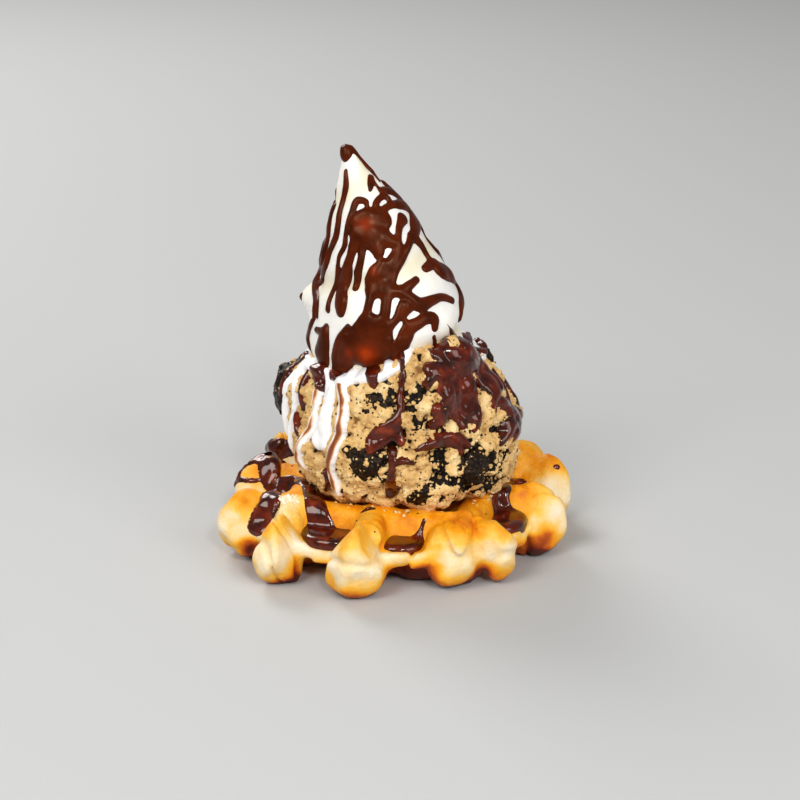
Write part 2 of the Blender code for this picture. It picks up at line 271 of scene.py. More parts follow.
PEAR_SLIMMING = 0.58
PEAR_HEIGHTS = (8, 23)
FACET_COUNT = 6
FACET_CUT = (0.74, 0.92)
FACET_SOFTNESS = 0.9
FACET_STRAY = 0.8
FACET_TILT = 1.3
FACET_DROOP = 0.45
FACET_REACH = 5
CORNER_SEED = 20
# Swellings of the crust: height and size in mm, and seed.
CRUST_SWELLS = ((0.7, 11, 1), (0.34, 4.5, 2), (0.17, 1.9, 3))
# Folds and flutes run up the ends, beyond a distance from the middle.
FOLD_STRETCH = np.array((1, 1, 0.35))
FOLD_RANGE = (36, 46)
FOLD_DEPTH = 1.3
FOLD_SIZE = 9
FOLD_WIDTH = 0.17
FLUTE_SWELL = (0.8, 10, 5)
REST_ROUNDING = 1


def hashed(cells, seed):
    """A random number from 0 to 1 for each row of three whole numbers, the same on every run."""
    x, y, z = (cells[..., i].astype(np.int64) for i in range(3))
    mixed = (x * 73856093 ^ y * 19349663 ^ z * 83492791 ^ (seed * 668265263 + 374761393)) & 0xFFFFFFFF
    for shift, factor in ((16, 0x85EBCA6B), (13, 0xC2B2AE35)):
        mixed = ((mixed ^ (mixed >> shift)) * factor) & 0xFFFFFFFF
    return (mixed ^ (mixed >> 16)) / 0xFFFFFFFF


def swell_noise(points, size, seed):
    """Smooth noise from -1 to 1: random values on a lattice, blended across each cell by smoothstep."""
    place = points / size
    cell = np.floor(place).astype(np.int64)
    share = place - cell
    share = share * share * (3 - 2 * share)
    total = np.zeros(len(points))
    for corner in product((0, 1), repeat=3):
        weight = np.prod(np.where(corner, share, 1 - share), axis=1)
        total += weight * hashed(cell + np.array(corner), seed)
    return 2 * total - 1


def swells(points, *layers):
    """Layers of smooth noise laid over each other, each with its height, size and seed."""
    return sum(height * swell_noise(points, size, seed) for height, size, seed in layers)


def lump_noise(points, size, seed):
    """Rounded lumps: one less the squared distance to the nearest of points strewn one to a cell."""
    place = points / size
    cell = np.floor(place).astype(np.int64)
    nearest = np.full(len(points), 4.0)
    for offset in product((-1, 0, 1), repeat=3):
        corner = cell + np.array(offset)
        middle = corner + np.stack([hashed(corner, seed * 3 + i) for i in range(3)], -1)
        nearest = np.minimum(nearest, ((place - middle) ** 2).sum(1))
    return 1 - nearest


def soft_min(a, b, blend):
    """The lower of a and b, with a fillet where they come within the blend of each other."""
    share = np.clip(0.5 + 0.5 * (b - a) / blend, 0, 1)
    return b + (a - b) * share - blend * share * (1 - share)


def soft_max(a, b, blend):
    return -soft_min(-a, -b, blend)


def smooth_rise(value, low, high):
    """0 below low, 1 above high and a smoothstep between; low may be the higher of the two."""
    share = np.clip((value - low) / (high - low), 0, 1)
    return share * share * (3 - 2 * share)


def hump(value, middle, width):
    """A bell curve: 1 at the middle, and 1 over e where a value is the width away from it."""
    return np.exp(-(((value - middle) / width) ** 2))


def ball_depth(points, centre, radii):
    """Distance outside an ellipsoid, taken as the scaled distance from its middle less one."""
    return (np.linalg.norm((points - centre) / radii, axis=1) - 1) * min(radii)


def torn_ball(points, centre, radii, seed):
    """A ball of risen dough with flats, where planes facing random ways cut it a little below its skin."""
    depth = ball_depth(points, centre, radii)
    near = np.flatnonzero(depth < FACET_REACH)
    own, cut = points[near] - centre, depth[near]
    for number in range(FACET_COUNT):
        turn, tilt, share = (hashed(np.array((seed, number, i)), 6) for i in range(3))
        turn = math.tau * (number + FACET_STRAY * turn) / FACET_COUNT
        tilt = FACET_TILT * (tilt - FACET_DROOP)
        facing = np.array((math.cos(turn) * math.cos(tilt), math.sin(turn) * math.cos(tilt), math.sin(tilt)))
        reach = np.linalg.norm(radii * facing) * (FACET_CUT[0] + (FACET_CUT[1] - FACET_CUT[0]) * share)
        cut = soft_max(cut, own @ facing - reach, FACET_SOFTNESS)
    depth[near] = cut
    return depth


def waffle_frame(points):
    """Points of the model turned into the waffle's own directions, along and across its ribs."""
    c, s = math.cos(WAFFLE_TURN), math.sin(WAFFLE_TURN)
    x, y, z = points.T
    return np.stack((x * c + y * s, -x * s + y * c, z), -1)


def web_edge(angle):
    """Radius of the web: a rounded square, less a notch at the corner nearest the eater."""
    c, s = np.abs(np.cos(angle)), np.abs(np.sin(angle))
    square = WEB_RADIUS / (c ** WEB_SQUARENESS + s ** WEB_SQUARENESS) ** (1 / WEB_SQUARENESS)
    away = np.angle(np.exp(1j * (angle - WEB_NOTCH_ANGLE)))
    return square - WEB_NOTCH_DEPTH * hump(away, 0, WEB_NOTCH_WIDTH)


def plain_waffle_depth(points):
    """Depth of the smooth waffle: the web, the bars that are broadest at mid-height, and their pear ends."""
    own = waffle_frame(points)
    u, v, w = own.T
    off_middle = np.abs(w - THICKNESS / 2)
    web_side = np.hypot(u, v) - web_edge(np.arctan2(v, u))
    lip = WEB_LIP * hump(web_side, -WEB_LIP_WIDTH, WEB_LIP_WIDTH)
    depth = soft_max(off_middle - WEB_HALF - lip, web_side, WEB_ROUNDING)
    half = RIB_CREST_HALF + (RIB_WAIST_HALF - RIB_CREST_HALF) * (1 - off_middle / (THICKNESS / 2))
    pear = PEAR_FOOT - PEAR_SLIMMING * smooth_rise(w, *PEAR_HEIGHTS)
    reach = BULB_RADII[0] + NECK_BACK
    for number, (along, place, start, end, drift, start_girth, end_girth) in enumerate(RIBS):
        run, side = (u, v - place * RIB_PITCH) if along else (v, place * RIB_PITCH - u)
        bar = soft_max((np.abs(side) - half) * RIB_FLANK_SLOPE, off_middle - THICKNESS / 2, RIB_ROUNDING)
        bar = soft_max(bar, np.maximum(start + reach - run, run - end + reach), RIB_END_ROUNDING)
        own_rib = np.stack((run, side / pear, w), -1)
        for tip, inward, shift, girth in ((start, 1, drift, start_girth), (end, -1, 0, end_girth)):
            slim = np.array((1, girth, 1))
            bulb_place = (tip + inward * BULB_RADII[0], shift, BULB_HEIGHT)
            bulb = torn_ball(own_rib, bulb_place, BULB_RADII * slim, 2 * number + (inward > 0))
            neck = ball_depth(own_rib, (tip + inward * reach, shift / 2, THICKNESS / 2), NECK_RADII * slim)
            bar = soft_min(bar, soft_min(bulb, neck, BULB_JOIN), NECK_JOIN)
        depth = soft_min(depth, bar, RIB_JOIN)
    for number, (place, radii) in enumerate(CORNER_BULBS):
        depth = soft_min(depth, torn_ball(own, place, radii, CORNER_SEED + number), CORNER_JOIN)
    return depth


def waffle_depth(points):
    """The waffle with its uneven skin: swellings, upright folds at the ends, then flat where it rests."""
    upright = points * FOLD_STRETCH
    fold = FOLD_DEPTH * smooth_rise(np.abs(swell_noise(upright, FOLD_SIZE, 4)), FOLD_WIDTH, 0)
    ends = smooth_rise(np.hypot(points[:, 0], points[:, 1]), *FOLD_RANGE)
    uneven = swells(points, *CRUST_SWELLS) + ends * (fold + swells(upright, FLUTE_SWELL))
    return soft_max(plain_waffle_depth(points) + uneven, -points[:, 2], REST_ROUNDING)


def skin_of(depth, low, high, step):
    """The skin of a depth field: a point in each cell that it crosses, at the mean of its crossings."""
    axes = [np.arange(a, b, step) for a, b in zip(low, high)]
    grid = np.stack(np.meshgrid(*axes, indexing="ij"), -1)
    value = np.concatenate([depth(slab.reshape(-1, 3)) for slab in grid]).reshape(grid.shape[:3])
    inside = value < 0
    cells = tuple(n - 1 for n in value.shape)
    total, count = np.zeros(cells + (3,)), np.zeros(cells)
    crossings = []
    for axis in range(3):
        near, far = (np.take(value, range(a, value.shape[axis] - 1 + a), axis) for a in (0, 1))
        crossed = np.take(inside, range(value.shape[axis] - 1), axis)
        crossed = crossed != np.take(inside, range(1, value.shape[axis]), axis)
        at = np.argwhere(crossed)
        spot = at.astype(float)
        spot[:, axis] += near[crossed] / (near[crossed] - far[crossed])
        others = [i for i in range(3) if i != axis]
        corners = []
        for back in ((0, 0), (1, 0), (1, 1), (0, 1)):
            cell = at.copy()
            cell[:, others] -= back
            fits = ((cell >= 0) & (cell < cells)).all(1)
            np.add.at(total, tuple(cell[fits].T), spot[fits])
            np.add.at(count, tuple(cell[fits].T), 1)
            corners.append((cell, fits))
        crossings.append((corners, near[crossed] < 0, axis))
    used = count > 0
    number = np.full(cells, -1)
    number[used] = np.arange(used.sum())
    points = total[used] / count[used][:, None] * step + np.asarray(low)
    quads = []
    for corners, outwards, axis in crossings:
        whole = np.all([fits for _, fits in corners], axis=0)
        quad = np.stack([number[tuple(cell[whole].T)] for cell, _ in corners], -1)
        turned = outwards[whole] == (axis != 1)
        quad[~turned] = quad[~turned][:, ::-1]
        quads.append(quad)
    return points, np.concatenate(quads)


def add_piece(name, points, faces, material, nodes=(), values=None):
    """Puts points (mm) and faces of four or three corners into a smooth mesh that rides on the part."""
    mesh = bpy.data.meshes.new(name)
    corners = np.concatenate([part.ravel() for part in faces])
    sizes = np.concatenate([np.full(len(part), part.shape[1]) for part in faces])
    mesh.vertices.add(len(points))
    mesh.vertices.foreach_set("co", (points / 1000).astype(np.float32).ravel())
    mesh.loops.add(len(corners))
    mesh.loops.foreach_set("vertex_index", corners.astype(np.int32))
    mesh.polygons.add(len(sizes))
    mesh.polygons.foreach_set("loop_start", (np.cumsum(sizes) - sizes).astype(np.int32))
    mesh.update(calc_edges=True)
    mesh.validate()
    mesh.shade_smooth()
    for key, numbers in (values or {}).items():
        layer = mesh.attributes.new(key, "FLOAT", "POINT")
        layer.data.foreach_set("value", np.asarray(numbers, np.float32))
    mesh.materials.append(material)
    piece = bpy.data.objects.new(name, mesh)
    bpy.context.scene.collection.objects.link(piece)
    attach(piece, "root")
    if nodes:
        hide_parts(*nodes)
    return piece


# Baked crust: a dry, faintly greasy skin of egg and butter dough. Its bake value runs from pale
# crumb to scorched edge and also carries painted shade under the web, and a fine bump stands for the pores of
# the risen dough.
crust, crust_tree = new_material(
    "baked_egg_dough", Roughness=0.48, Subsurface_Weight=0.06, Subsurface_Scale=0.0015,
    Subsurface_Radius=(1, 0.6, 0.3), Specular_IOR_Level=0.25,
)
crust_place = add_node(crust_tree, "TexCoord").outputs["Object"]
crust_bake_and_shade = add_node(crust_tree, "Attribute", attribute_name="bake_and_shade").outputs["Fac"]
PORE_SIZE = 0.0011
PORE_DEPTH = 0.00045
MOTTLE_SIZE = 0.006
MOTTLE = 0.13
mottle = add_node(crust_tree, "TexNoise", {"Vector": crust_place, "Scale": 1 / MOTTLE_SIZE, "Detail": 5})
mottled = add_node(crust_tree, "MapRange", {
    "Value": mottle.outputs["Fac"], "From Min": 0.3, "From Max": 0.7, "To Min": -MOTTLE, "To Max": MOTTLE,
})
crust_level = add_node(crust_tree, "Math", {0: crust_bake_and_shade, 1: mottled.outputs["Result"]}, operation="ADD")
crust_ramp = add_node(crust_tree, "ValToRGB", {"Fac": crust_level.outputs["Value"]}, stops=(
    (0, "#F2E4C6"), (0.2, "#F3D398"), (0.38, "#F5BB44"), (0.56, "#F09A0A"),
    (0.74, "#CA6004"), (0.9, "#862A04"), (1, "#561A04"),
))
pores = add_node(crust_tree, "TexNoise", {"Vector": crust_place, "Scale": 1 / PORE_SIZE, "Detail": 4})
finish_material(crust_tree, crust_ramp.outputs["Color"], pores.outputs["Fac"], 0.8, PORE_DEPTH)

# How far the crust is baked, from 0 for pale crumb to 1 for scorched, with painted shade added: usually, how
# much paler the ends are, how much darker the foot, the crests and the web's face, how much painted shade
# darkens the tuck under the web, and how pale its lip.
USUAL_BAKE = 0.54
END_PALENESS = 0.46
FOOT_SCORCH = 0.36
CREST_BROWN = 0.04
WEB_BROWN = 0.06
TUCK_PAINTED_SHADE = 0.26
LIP_PALENESS = 0.25
# Where the ends begin, and the heights of the pale band, the scorched foot, the crests and the web's face.
END_RANGE = (42, 52)
PALE_BAND = (11, 7)
FOOT_HEIGHTS = (4.6, -0.8)
CREST_HEIGHTS = (16, 21)
WEB_FACE_HEIGHT = 13.5
TUCK_SHADE_HEIGHTS = (11.5, 9)

waffle_points, waffle_quads = skin_of(waffle_depth, WAFFLE_LOW, WAFFLE_HIGH, WAFFLE_STEP)
u, v, w = waffle_frame(waffle_points).T
tip = smooth_rise(np.hypot(u, v), *END_RANGE)
blotch = swell_noise(waffle_points, 7, 21)
pale = tip * hump(w - 1.5 * blotch, *PALE_BAND) * (1 - 0.3 * smooth_rise(blotch, 0.1, 0.8))
crest = smooth_rise(w, *CREST_HEIGHTS) * (1 + blotch) * (1 - 0.5 * tip)
web_gap = np.hypot(u, v) - web_edge(np.arctan2(v, u))
bake_and_shade = USUAL_BAKE - END_PALENESS * pale + FOOT_SCORCH * smooth_rise(w + 2.2 * blotch, *FOOT_HEIGHTS)
bake_and_shade += CREST_BROWN * crest + WEB_BROWN * hump(w, WEB_FACE_HEIGHT, 3) * (1 - tip)
for spot, radius, amount in seen_marks(BAKE_AND_SHADE_MARKS, plain_waffle_depth):
    off_spot = np.linalg.norm(waffle_points - spot, axis=1)
    bake_and_shade += amount * hump(off_spot, 0, radius) * (1 + 0.35 * blotch)
# Painted shade: the tuck under the web's edge, where the web casts its shadow, is darkened.
bake_and_shade += TUCK_PAINTED_SHADE * hump(web_gap, 0.5, 3) * smooth_rise(w, *TUCK_SHADE_HEIGHTS) * (1 + 0.6 * blotch)
bake_and_shade -= LIP_PALENESS * hump(web_gap, -1.2, 1.6) * hump(w, WEB_FACE_HEIGHT, 2)
add_piece("waffle_skin", waffle_points, [waffle_quads], crust, ["waffle"], {"bake_and_shade": bake_and_shade})


# Sauce on the waffle
# Chocolate dessert sauce, thick and wet, that fell in runs over the ribs and gathered in the pockets.
# It is the part of a depth field just outside the crust, so that it meets every rib with a round edge.

# Runs over the ribs: pixels of the photo, each with the run's half width there in mm.
WAFFLE_RUNS = (
    ((292, 450, 1.6), (278, 446, 2.2), (260, 447, 2.0), (247, 456, 1.8), (240, 470, 1.5), (233, 484, 1.0)),
    ((268, 446, 2.6), (268, 458, 3.2), (269, 470, 3.0), (271, 484, 2.2)),
    ((286, 448, 2.4), (276, 452, 2.6), (262, 452, 2.4), (252, 460, 2.0)),
    ((236, 481, 1.0), (247, 480, 0.9), (256, 481, 0.8)),
    ((304, 484, 1.8), (289, 486, 2.8), (279, 492, 3.0), (270, 502, 3.0), (263, 514, 3.2), (258, 526, 2.8)),
    ((309, 490, 2.0), (314, 500, 2.6), (317, 512, 2.8), (322, 528, 3.4)),
    ((362, 514, 0.7), (368, 510, 1.1), (374, 510, 0.8)),
    ((424, 520, 0.6), (421, 530, 0.8), (417, 539, 1.3), (412, 544, 1.2)),
    ((491, 482, 1.8), (494, 495, 2.4), (499, 508, 3.0), (505, 517, 3.0)),
    ((524, 482, 0.8), (514, 482, 1.2), (506, 490, 1.4), (502, 502, 1.8)),
    ((555, 467, 1.0), (557, 467, 1.0)),
    # The next two runs lie along the dough's foot: partly sauce, and partly a dark sheet as painted shade
    # under the foot.
    ((306, 486, 1.0), (320, 488, 1.0), (334, 489, 0.8)),
    ((437, 502, 1.0), (450, 500, 1.2), (461, 494, 0.9)),
)
# Runs that the photo doesn't show, in the waffle's own directions: u, v, height and half width in mm.
HIDDEN_WAFFLE_RUNS = (
    ((-42, 5, 21, 1.6), (-39, 10, 17, 2), (-36, 14, 14, 2.4)),
    ((-30, 36, 21, 1.4), (-34, 39, 17, 2), (-38, 41, 14, 2.2)),
    ((30, 34, 21, 1.4), (34, 37, 17, 2), (38, 40, 14, 2.2)),
)
# Pools in the pockets: the middle (u, v), the half widths along u and v, and the level, all in mm.
WAFFLE_POOLS = (
    ((-14, -34), (10, 12), 15.6),
    ((9.5, -35), (8, 9.5), 15.3),
    ((38, -12), (8.5, 9), 16),
    ((-39, -34), (6, 7), 15.2),
    ((-38, 14), (5, 5), 15.2),
    ((36, 39), (5, 5), 15.2),
)
SAUCE_THICKNESS = 0.9
SAUCE_SINK = 1.0
SAUCE_EDGE = 0.8
SAUCE_SPREAD = 1.3
SAUCE_WOBBLE = (0.25, 3, 31)
RUN_JOIN = 1.5
POOL_SETBACK = 1.5
# Rounding in mm where a pool's level meets its ring, the web's rim and its floor, and where pools meet runs.
POOL_ROUNDING = 2.5
POOL_RIM_ROUNDING = 3.5
POOL_FLOOR_ROUNDING = 0.5
POOL_JOIN = 1.6
# The box that holds all the sauce, in mm.
SAUCE_LOW = np.array((-62, -58, 11))
SAUCE_HIGH = np.array((60, 56, 24.5))
SAUCE_STEP = 0.6


def smooth_path(knots, steps=4):
    """A curve through the knots: a Catmull-Rom spline, each span of it read at a few places."""
    knots = np.asarray(knots, float)
    padded = np.concatenate((2 * knots[:1] - knots[1:2], knots, 2 * knots[-1:] - knots[-2:-1]))
    t = np.arange(steps)[:, None] / steps
    spans = [
        0.5 * (2 * b + (c - a) * t + (2 * a - 5 * b + 4 * c - d) * t**2 + (3 * b - a - 3 * c + d) * t**3)
        for a, b, c, d in zip(padded, padded[1:], padded[2:], padded[3:])
    ]
    return np.concatenate(spans + [knots[-1:]])


def seen_strokes(strokes, depth, spread, broad_spread=0):
    """Strokes drawn on the photo, laid on a surface: paths of x, y, z and half width in mm.

    Every half width is spread a little, as the coat thins at its edge, and broad ones somewhat more.
    """
    laid = []
    for stroke in strokes:
        stroke = np.asarray(stroke, float)
        half = stroke[:, 2] * (spread + broad_spread * np.minimum(stroke[:, 2], 2))
        laid.append(smooth_path(np.column_stack((seen_point(stroke[:, :2], depth), half))))
    return laid


def stroke_depth(points, strokes, blend):
    """How far points lie outside strokes (mm): the distance to each path less its half width, blended."""
    far, margin = 9.0, 3
    depth = np.full(len(points), far)
    for path in strokes:
        reach = path[:, 3].max() + margin
        low, high = path[:, :3].min(0) - reach, path[:, :3].max(0) + reach
        near = np.flatnonzero(((points > low) & (points < high)).all(1))
        own = points[near]
        least = np.full(len(near), far)
        for start, end in zip(path, path[1:]):
            along = end[:3] - start[:3]
            share = np.clip((own - start[:3]) @ along / max(along @ along, 1e-6), 0, 1)
            gap = np.linalg.norm(own - start[:3] - share[:, None] * along, axis=1)
            least = np.minimum(least, gap - start[3] - share * (end[3] - start[3]))
        depth[near] = soft_min(depth[near], least, blend)
    return depth


def coat_height(outside, thickness, soften, sink):
    """Height of a coat of sauce: it rises from its edge to its thickness, and dives under beyond it."""
    within = thickness * (1 - np.exp(np.minimum(outside, 0) / soften))
    return np.where(outside < 0, within, -np.minimum(outside * thickness / soften, sink))


def waffle_world(rows):
    """Rows of u, v, height and half width, turned from the waffle's own directions to the model's."""
    rows = np.asarray(rows, float)
    c, s = math.cos(WAFFLE_TURN), math.sin(WAFFLE_TURN)
    u, v = rows[:, 0], rows[:, 1]
    return np.column_stack((u * c - v * s, u * s + v * c, rows[:, 2:]))


waffle_strokes = seen_strokes(WAFFLE_RUNS, plain_waffle_depth, SAUCE_SPREAD)
waffle_strokes += [smooth_path(waffle_world(run)) for run in HIDDEN_WAFFLE_RUNS]


def waffle_sauce_depth(points):
    """Depth of the sauce: a coat on the crust along the runs, and what lies under each pool's level."""
    crust_depth = waffle_depth(points)
    outside = stroke_depth(points, waffle_strokes, RUN_JOIN) + swells(points, SAUCE_WOBBLE)
    height = coat_height(outside, SAUCE_THICKNESS, SAUCE_EDGE, SAUCE_SINK)
    depth = np.maximum(crust_depth - height, outside - SAUCE_EDGE)
    u, v, w = waffle_frame(points).T
    for (pool_u, pool_v), (half_u, half_v), level in WAFFLE_POOLS:
        ring = (np.hypot((u - pool_u) / half_u, (v - pool_v) / half_v) - 1) * min(half_u, half_v)
        rim = web_edge(np.arctan2(v, u)) - POOL_SETBACK - np.hypot(u, v)
        pool = soft_max(soft_max(w - level, ring, POOL_ROUNDING), -rim, POOL_RIM_ROUNDING)
        depth = soft_min(depth, soft_max(pool, THICKNESS / 2 - w, POOL_FLOOR_ROUNDING), POOL_JOIN)
    return np.maximum(depth, -crust_depth - SAUCE_SINK)


# Chocolate sauce: cocoa, syrup and cream, wet and nearly black where deep, red-brown where thin.
sauce, sauce_tree = new_material(
    "wet_chocolate_sauce", Roughness=0.2, Specular_IOR_Level=0.2, Specular_Tint=(1, 0.7, 0.5, 1),
    Coat_Weight=0.75, Coat_Roughness=0.05, Coat_IOR=1.42,
)
SAUCE_STREAK = 0.004
sauce_place = add_node(sauce_tree, "TexCoord").outputs["Object"]
sauce_streaks = add_node(sauce_tree, "TexNoise", {
    "Vector": sauce_place, "Scale": 1 / SAUCE_STREAK, "Detail": 3,
})
sauce_ramp = add_node(sauce_tree, "ValToRGB", {"Fac": sauce_streaks.outputs["Fac"]}, stops=(
    (0.35, "#2C0702"), (0.58, "#551402"), (0.78, "#842C06"),
))
finish_material(sauce_tree, sauce_ramp.outputs["Color"])

sauce_points, sauce_quads = skin_of(waffle_sauce_depth, SAUCE_LOW, SAUCE_HIGH, SAUCE_STEP)
add_piece("waffle_sauce", sauce_points, [sauce_quads], sauce)

# Cookie dough
# Chilled cookie dough, scooped into a squat mound and torn at its surface, with crumbs of black cookie
# worked through it. It sits on the crests of the ribs and carries the cream.



def node_box(node):
    """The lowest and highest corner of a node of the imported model, in mm."""
    return (np.array(corner) * 1000 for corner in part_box(node))


dough_low, dough_high = node_box("cookie_dough")
DOUGH_CENTRE = np.array((1.8, 2))
DOUGH_LEAN = -4.3
DOUGH_FOOT = dough_low[2]
DOUGH_TOP = dough_high[2]
DOUGH_WAIST_HEIGHT = 36
DOUGH_WAIST_RADIUS = 36
DOUGH_RISE = 42
DOUGH_TUCK = 34
DOUGH_DEPTH_SHARE = 0.94
DOUGH_EDGE_ROUNDING = 5
DOUGH_EDGE_TUCK = 0.1
DOUGH_CAP = 0.08
CHUNK_COUNT = 10
CHUNK_HOLD = 2.4
CHUNK_HOLD_REACH = 7.5
DOUGH_GRID = ((560, 150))
# The mound's shoulder stands up before the cream at the right: how much, from what height, and where.
LEDGE_RISE = 9
LEDGE_FROM = 48
LEDGE_AZIMUTH = math.radians(-58)
LEDGE_HALF = math.radians(37)
# A lump that stands out at the right: its pixel of the photo, how far it stands out and its reach in mm.
LUMP_PIXEL = (507, 426)
LUMP_OUT = 3.2
LUMP_REACH = 9
# Where black cookie shows at the front: pixels of the photo and the radius of the patch in mm.
COOKIE_PATCHES = (
    (388, 380, 2.8), (392, 393, 3), (356, 381, 1.4), (354, 452, 2.6), (380, 458, 3.6), (371, 470, 3.4),
    (386, 478, 3), (417, 422, 2.4), (462, 446, 2.6), (472, 454, 3.6), (486, 462, 3.2), (498, 452, 2.4),
    (416, 493, 3.2), (459, 375, 2), (469, 391, 1.9), (508, 428, 2), (478, 470, 3), (342, 402, 1),
    (330, 476, 1.6), (298, 458, 1.4), (440, 428, 1.8), (300, 395, 1.4), (364, 497, 1.6), (446, 470, 1.6),
)
# The patches' ragged edges, and where torn dough shows more black: swells as height, size and seed, and how
# far each is drawn in.
PATCH_SWELLS = ((1.8, 2.8, 41), (2, 1.5, 40))
PATCH_DRAWN_IN = 0.5
TORN_SWELLS = ((4.5, 15, 43), (2.7, 4, 44), (1.5, 1.5, 49))
TORN_DRAWN_IN = 2.6
TORN_AT_CRUMBS = 7
TORN_AT_LUMPS = 2.5
PATCH_EDGE = (0.9, -0.5)
# The torn skin in mm: broad lumps with a swell between them, crumbs, two sizes of grains, and grit. What
# lump noise comes to on average is taken off, so that they lie about the mound's own skin.
BROAD_LUMP_SIZE = 13
BROAD_LUMP_HEIGHT = 4.8
BROAD_LUMP_MEAN = 0.6
BROAD_LUMP_RANGE = (-0.5, 0.4)
BROAD_SWELL = (1.2, 9, 47)
CRUMB_SIZE = 5.6
CRUMB_HEIGHT = 3
CRUMB_MEAN = 0.62
GRAIN_LAYERS = ((1.4, 2.6, 46), (0.75, 1.3, 48))
GRIT_SWELL = (0.35, 1, 50)
COOKIE_SUNK = 0.8
# Painted shade: hollows between crumbs are coloured browner, from one depth to another in mm.
CREVICE_SHADE_AT_CRUMBS = 1.6
CREVICE_SHADE_RANGE = (0.1, -0.95)


def dough_radius(z):
    """The mound's radius at a height: an ellipse above its waist and another below, rounded at the foot."""
    span = np.where(z > DOUGH_WAIST_HEIGHT, DOUGH_RISE, DOUGH_TUCK)
    radius = DOUGH_WAIST_RADIUS * np.sqrt(1 - ((z - DOUGH_WAIST_HEIGHT) / span) ** 2)
    edge = np.clip(1 - (z - DOUGH_FOOT) / DOUGH_EDGE_ROUNDING, 0, 1)
    return radius * (1 - DOUGH_EDGE_TUCK * edge**3)


def dough_middle(z):
    """Where the mound's middle line is at a height, as it leans a little to the left."""
    return DOUGH_CENTRE[0] + DOUGH_LEAN * (z - DOUGH_FOOT) / (DOUGH_TOP - DOUGH_FOOT)


def ledge_stretch(azimuth):
    """How much taller the mound is above the ledge's foot, at an azimuth."""
    away = np.angle(np.exp(1j * (azimuth - LEDGE_AZIMUTH))) / LEDGE_HALF
    return 1 + LEDGE_RISE / (DOUGH_TOP - LEDGE_FROM) * np.exp(-away**4)


def dough_surface(azimuth, level):
    """The mound: a foot disc, its side from foot to top, and a top disc, as level goes from 0 to 1."""
    share = np.clip((level - DOUGH_CAP) / (1 - 2 * DOUGH_CAP), 0, 1)
    z = DOUGH_FOOT + (DOUGH_TOP - DOUGH_FOOT) * share
    radius = dough_radius(z) * np.clip(np.minimum(level, 1 - level) / DOUGH_CAP, 0, 1)
    x = dough_middle(z) + radius * np.cos(azimuth)
    z = np.where(z > LEDGE_FROM, LEDGE_FROM + (z - LEDGE_FROM) * ledge_stretch(azimuth), z)
    return np.stack((x, DOUGH_CENTRE[1] + DOUGH_DEPTH_SHARE * radius * np.sin(azimuth), z), -1)


def dough_depth(points):
    """Distance outside the smooth mound, measured level by level."""
    across = (points[:, 1] - DOUGH_CENTRE[1]) / DOUGH_DEPTH_SHARE
    stretch = ledge_stretch(np.arctan2(across, points[:, 0] - dough_middle(DOUGH_TOP)))
    own = points[:, 2]
    own = np.where(own > LEDGE_FROM, LEDGE_FROM + (own - LEDGE_FROM) / stretch, own)
    z = np.clip(own, DOUGH_FOOT, DOUGH_TOP)
    off = np.hypot(points[:, 0] - dough_middle(z), across)
    return np.maximum(off - dough_radius(z), np.maximum(own - DOUGH_TOP, DOUGH_FOOT - own))


def turned_grid(grid):
    """Azimuth and level over a closed turned surface, ring by ring, with its two poles last."""
    columns, rows = grid
    azimuth = np.tile(np.arange(columns) / columns * math.tau, rows)
    level = np.repeat((np.arange(rows) + 0.5) / rows, columns)
    return np.append(azimuth, (0, 0)), np.append(level, (0, 1))


def turned_faces(grid):
    """Faces between the rings of a turned grid, from the foot up, and a fan of triangles to each pole."""
    columns, rows = grid
    ring = np.arange(columns)
    following = (ring + 1) % columns
    start = np.arange(rows - 1)[:, None] * columns
    above = start + columns
    quads = np.stack((start + ring, start + following, above + following, above + ring), -1)
    last, poles = (rows - 1) * columns, rows * columns
    foot = np.stack((following, ring, np.full(columns, poles)), -1)
    top = np.stack((last + ring, last + following, np.full(columns, poles + 1)), -1)
    return [quads.reshape(-1, 4), np.concatenate((foot, top))]


def surface_normals(surface, azimuth, level):
    """Unit normals of a surface of azimuth and level, from small steps each way."""
    step = 1e-3
    inner = np.clip(level, step, 1 - step)
    around = surface(azimuth + step, inner) - surface(azimuth - step, inner)
    upward = surface(azimuth, np.minimum(inner + step, 1)) - surface(azimuth, np.maximum(inner - step, 0))
    normals = np.cross(around, upward)
    return normals / np.maximum(np.linalg.norm(normals, axis=1, keepdims=True), 1e-9)


dough_azimuth, dough_level = turned_grid(DOUGH_GRID)
dough_base = dough_surface(dough_azimuth, dough_level)
dough_normals = surface_normals(dough_surface, dough_azimuth, dough_level)
dough_side = smooth_rise(np.minimum(dough_level, 1 - dough_level), 0, DOUGH_CAP)

patch_outside = np.full(len(dough_base), np.inf)
for spot, radius in seen_marks(COOKIE_PATCHES, dough_depth):
    patch_outside = np.minimum(patch_outside, np.linalg.norm(dough_base - spot, axis=1) - radius)
patch_outside += PATCH_DRAWN_IN + swells(dough_base, *PATCH_SWELLS)
lumps = lump_noise(dough_base, BROAD_LUMP_SIZE, 42) - BROAD_LUMP_MEAN
crumbs = lump_noise(dough_base, CRUMB_SIZE, 45) - CRUMB_MEAN
torn_outside = TORN_DRAWN_IN + swells(dough_base, *TORN_SWELLS)
torn_outside += TORN_AT_CRUMBS * crumbs + TORN_AT_LUMPS * lumps
cookie_share = smooth_rise(np.minimum(patch_outside, torn_outside), *PATCH_EDGE)

hold = np.zeros(len(dough_base))
for number in range(1, CHUNK_COUNT + 1):
    off_chunk = np.linalg.norm(dough_base - sum(node_box(f"cookie_chunk_{number}")) / 2, axis=1)
    hold = np.maximum(hold, hump(off_chunk, 0, CHUNK_HOLD_REACH))

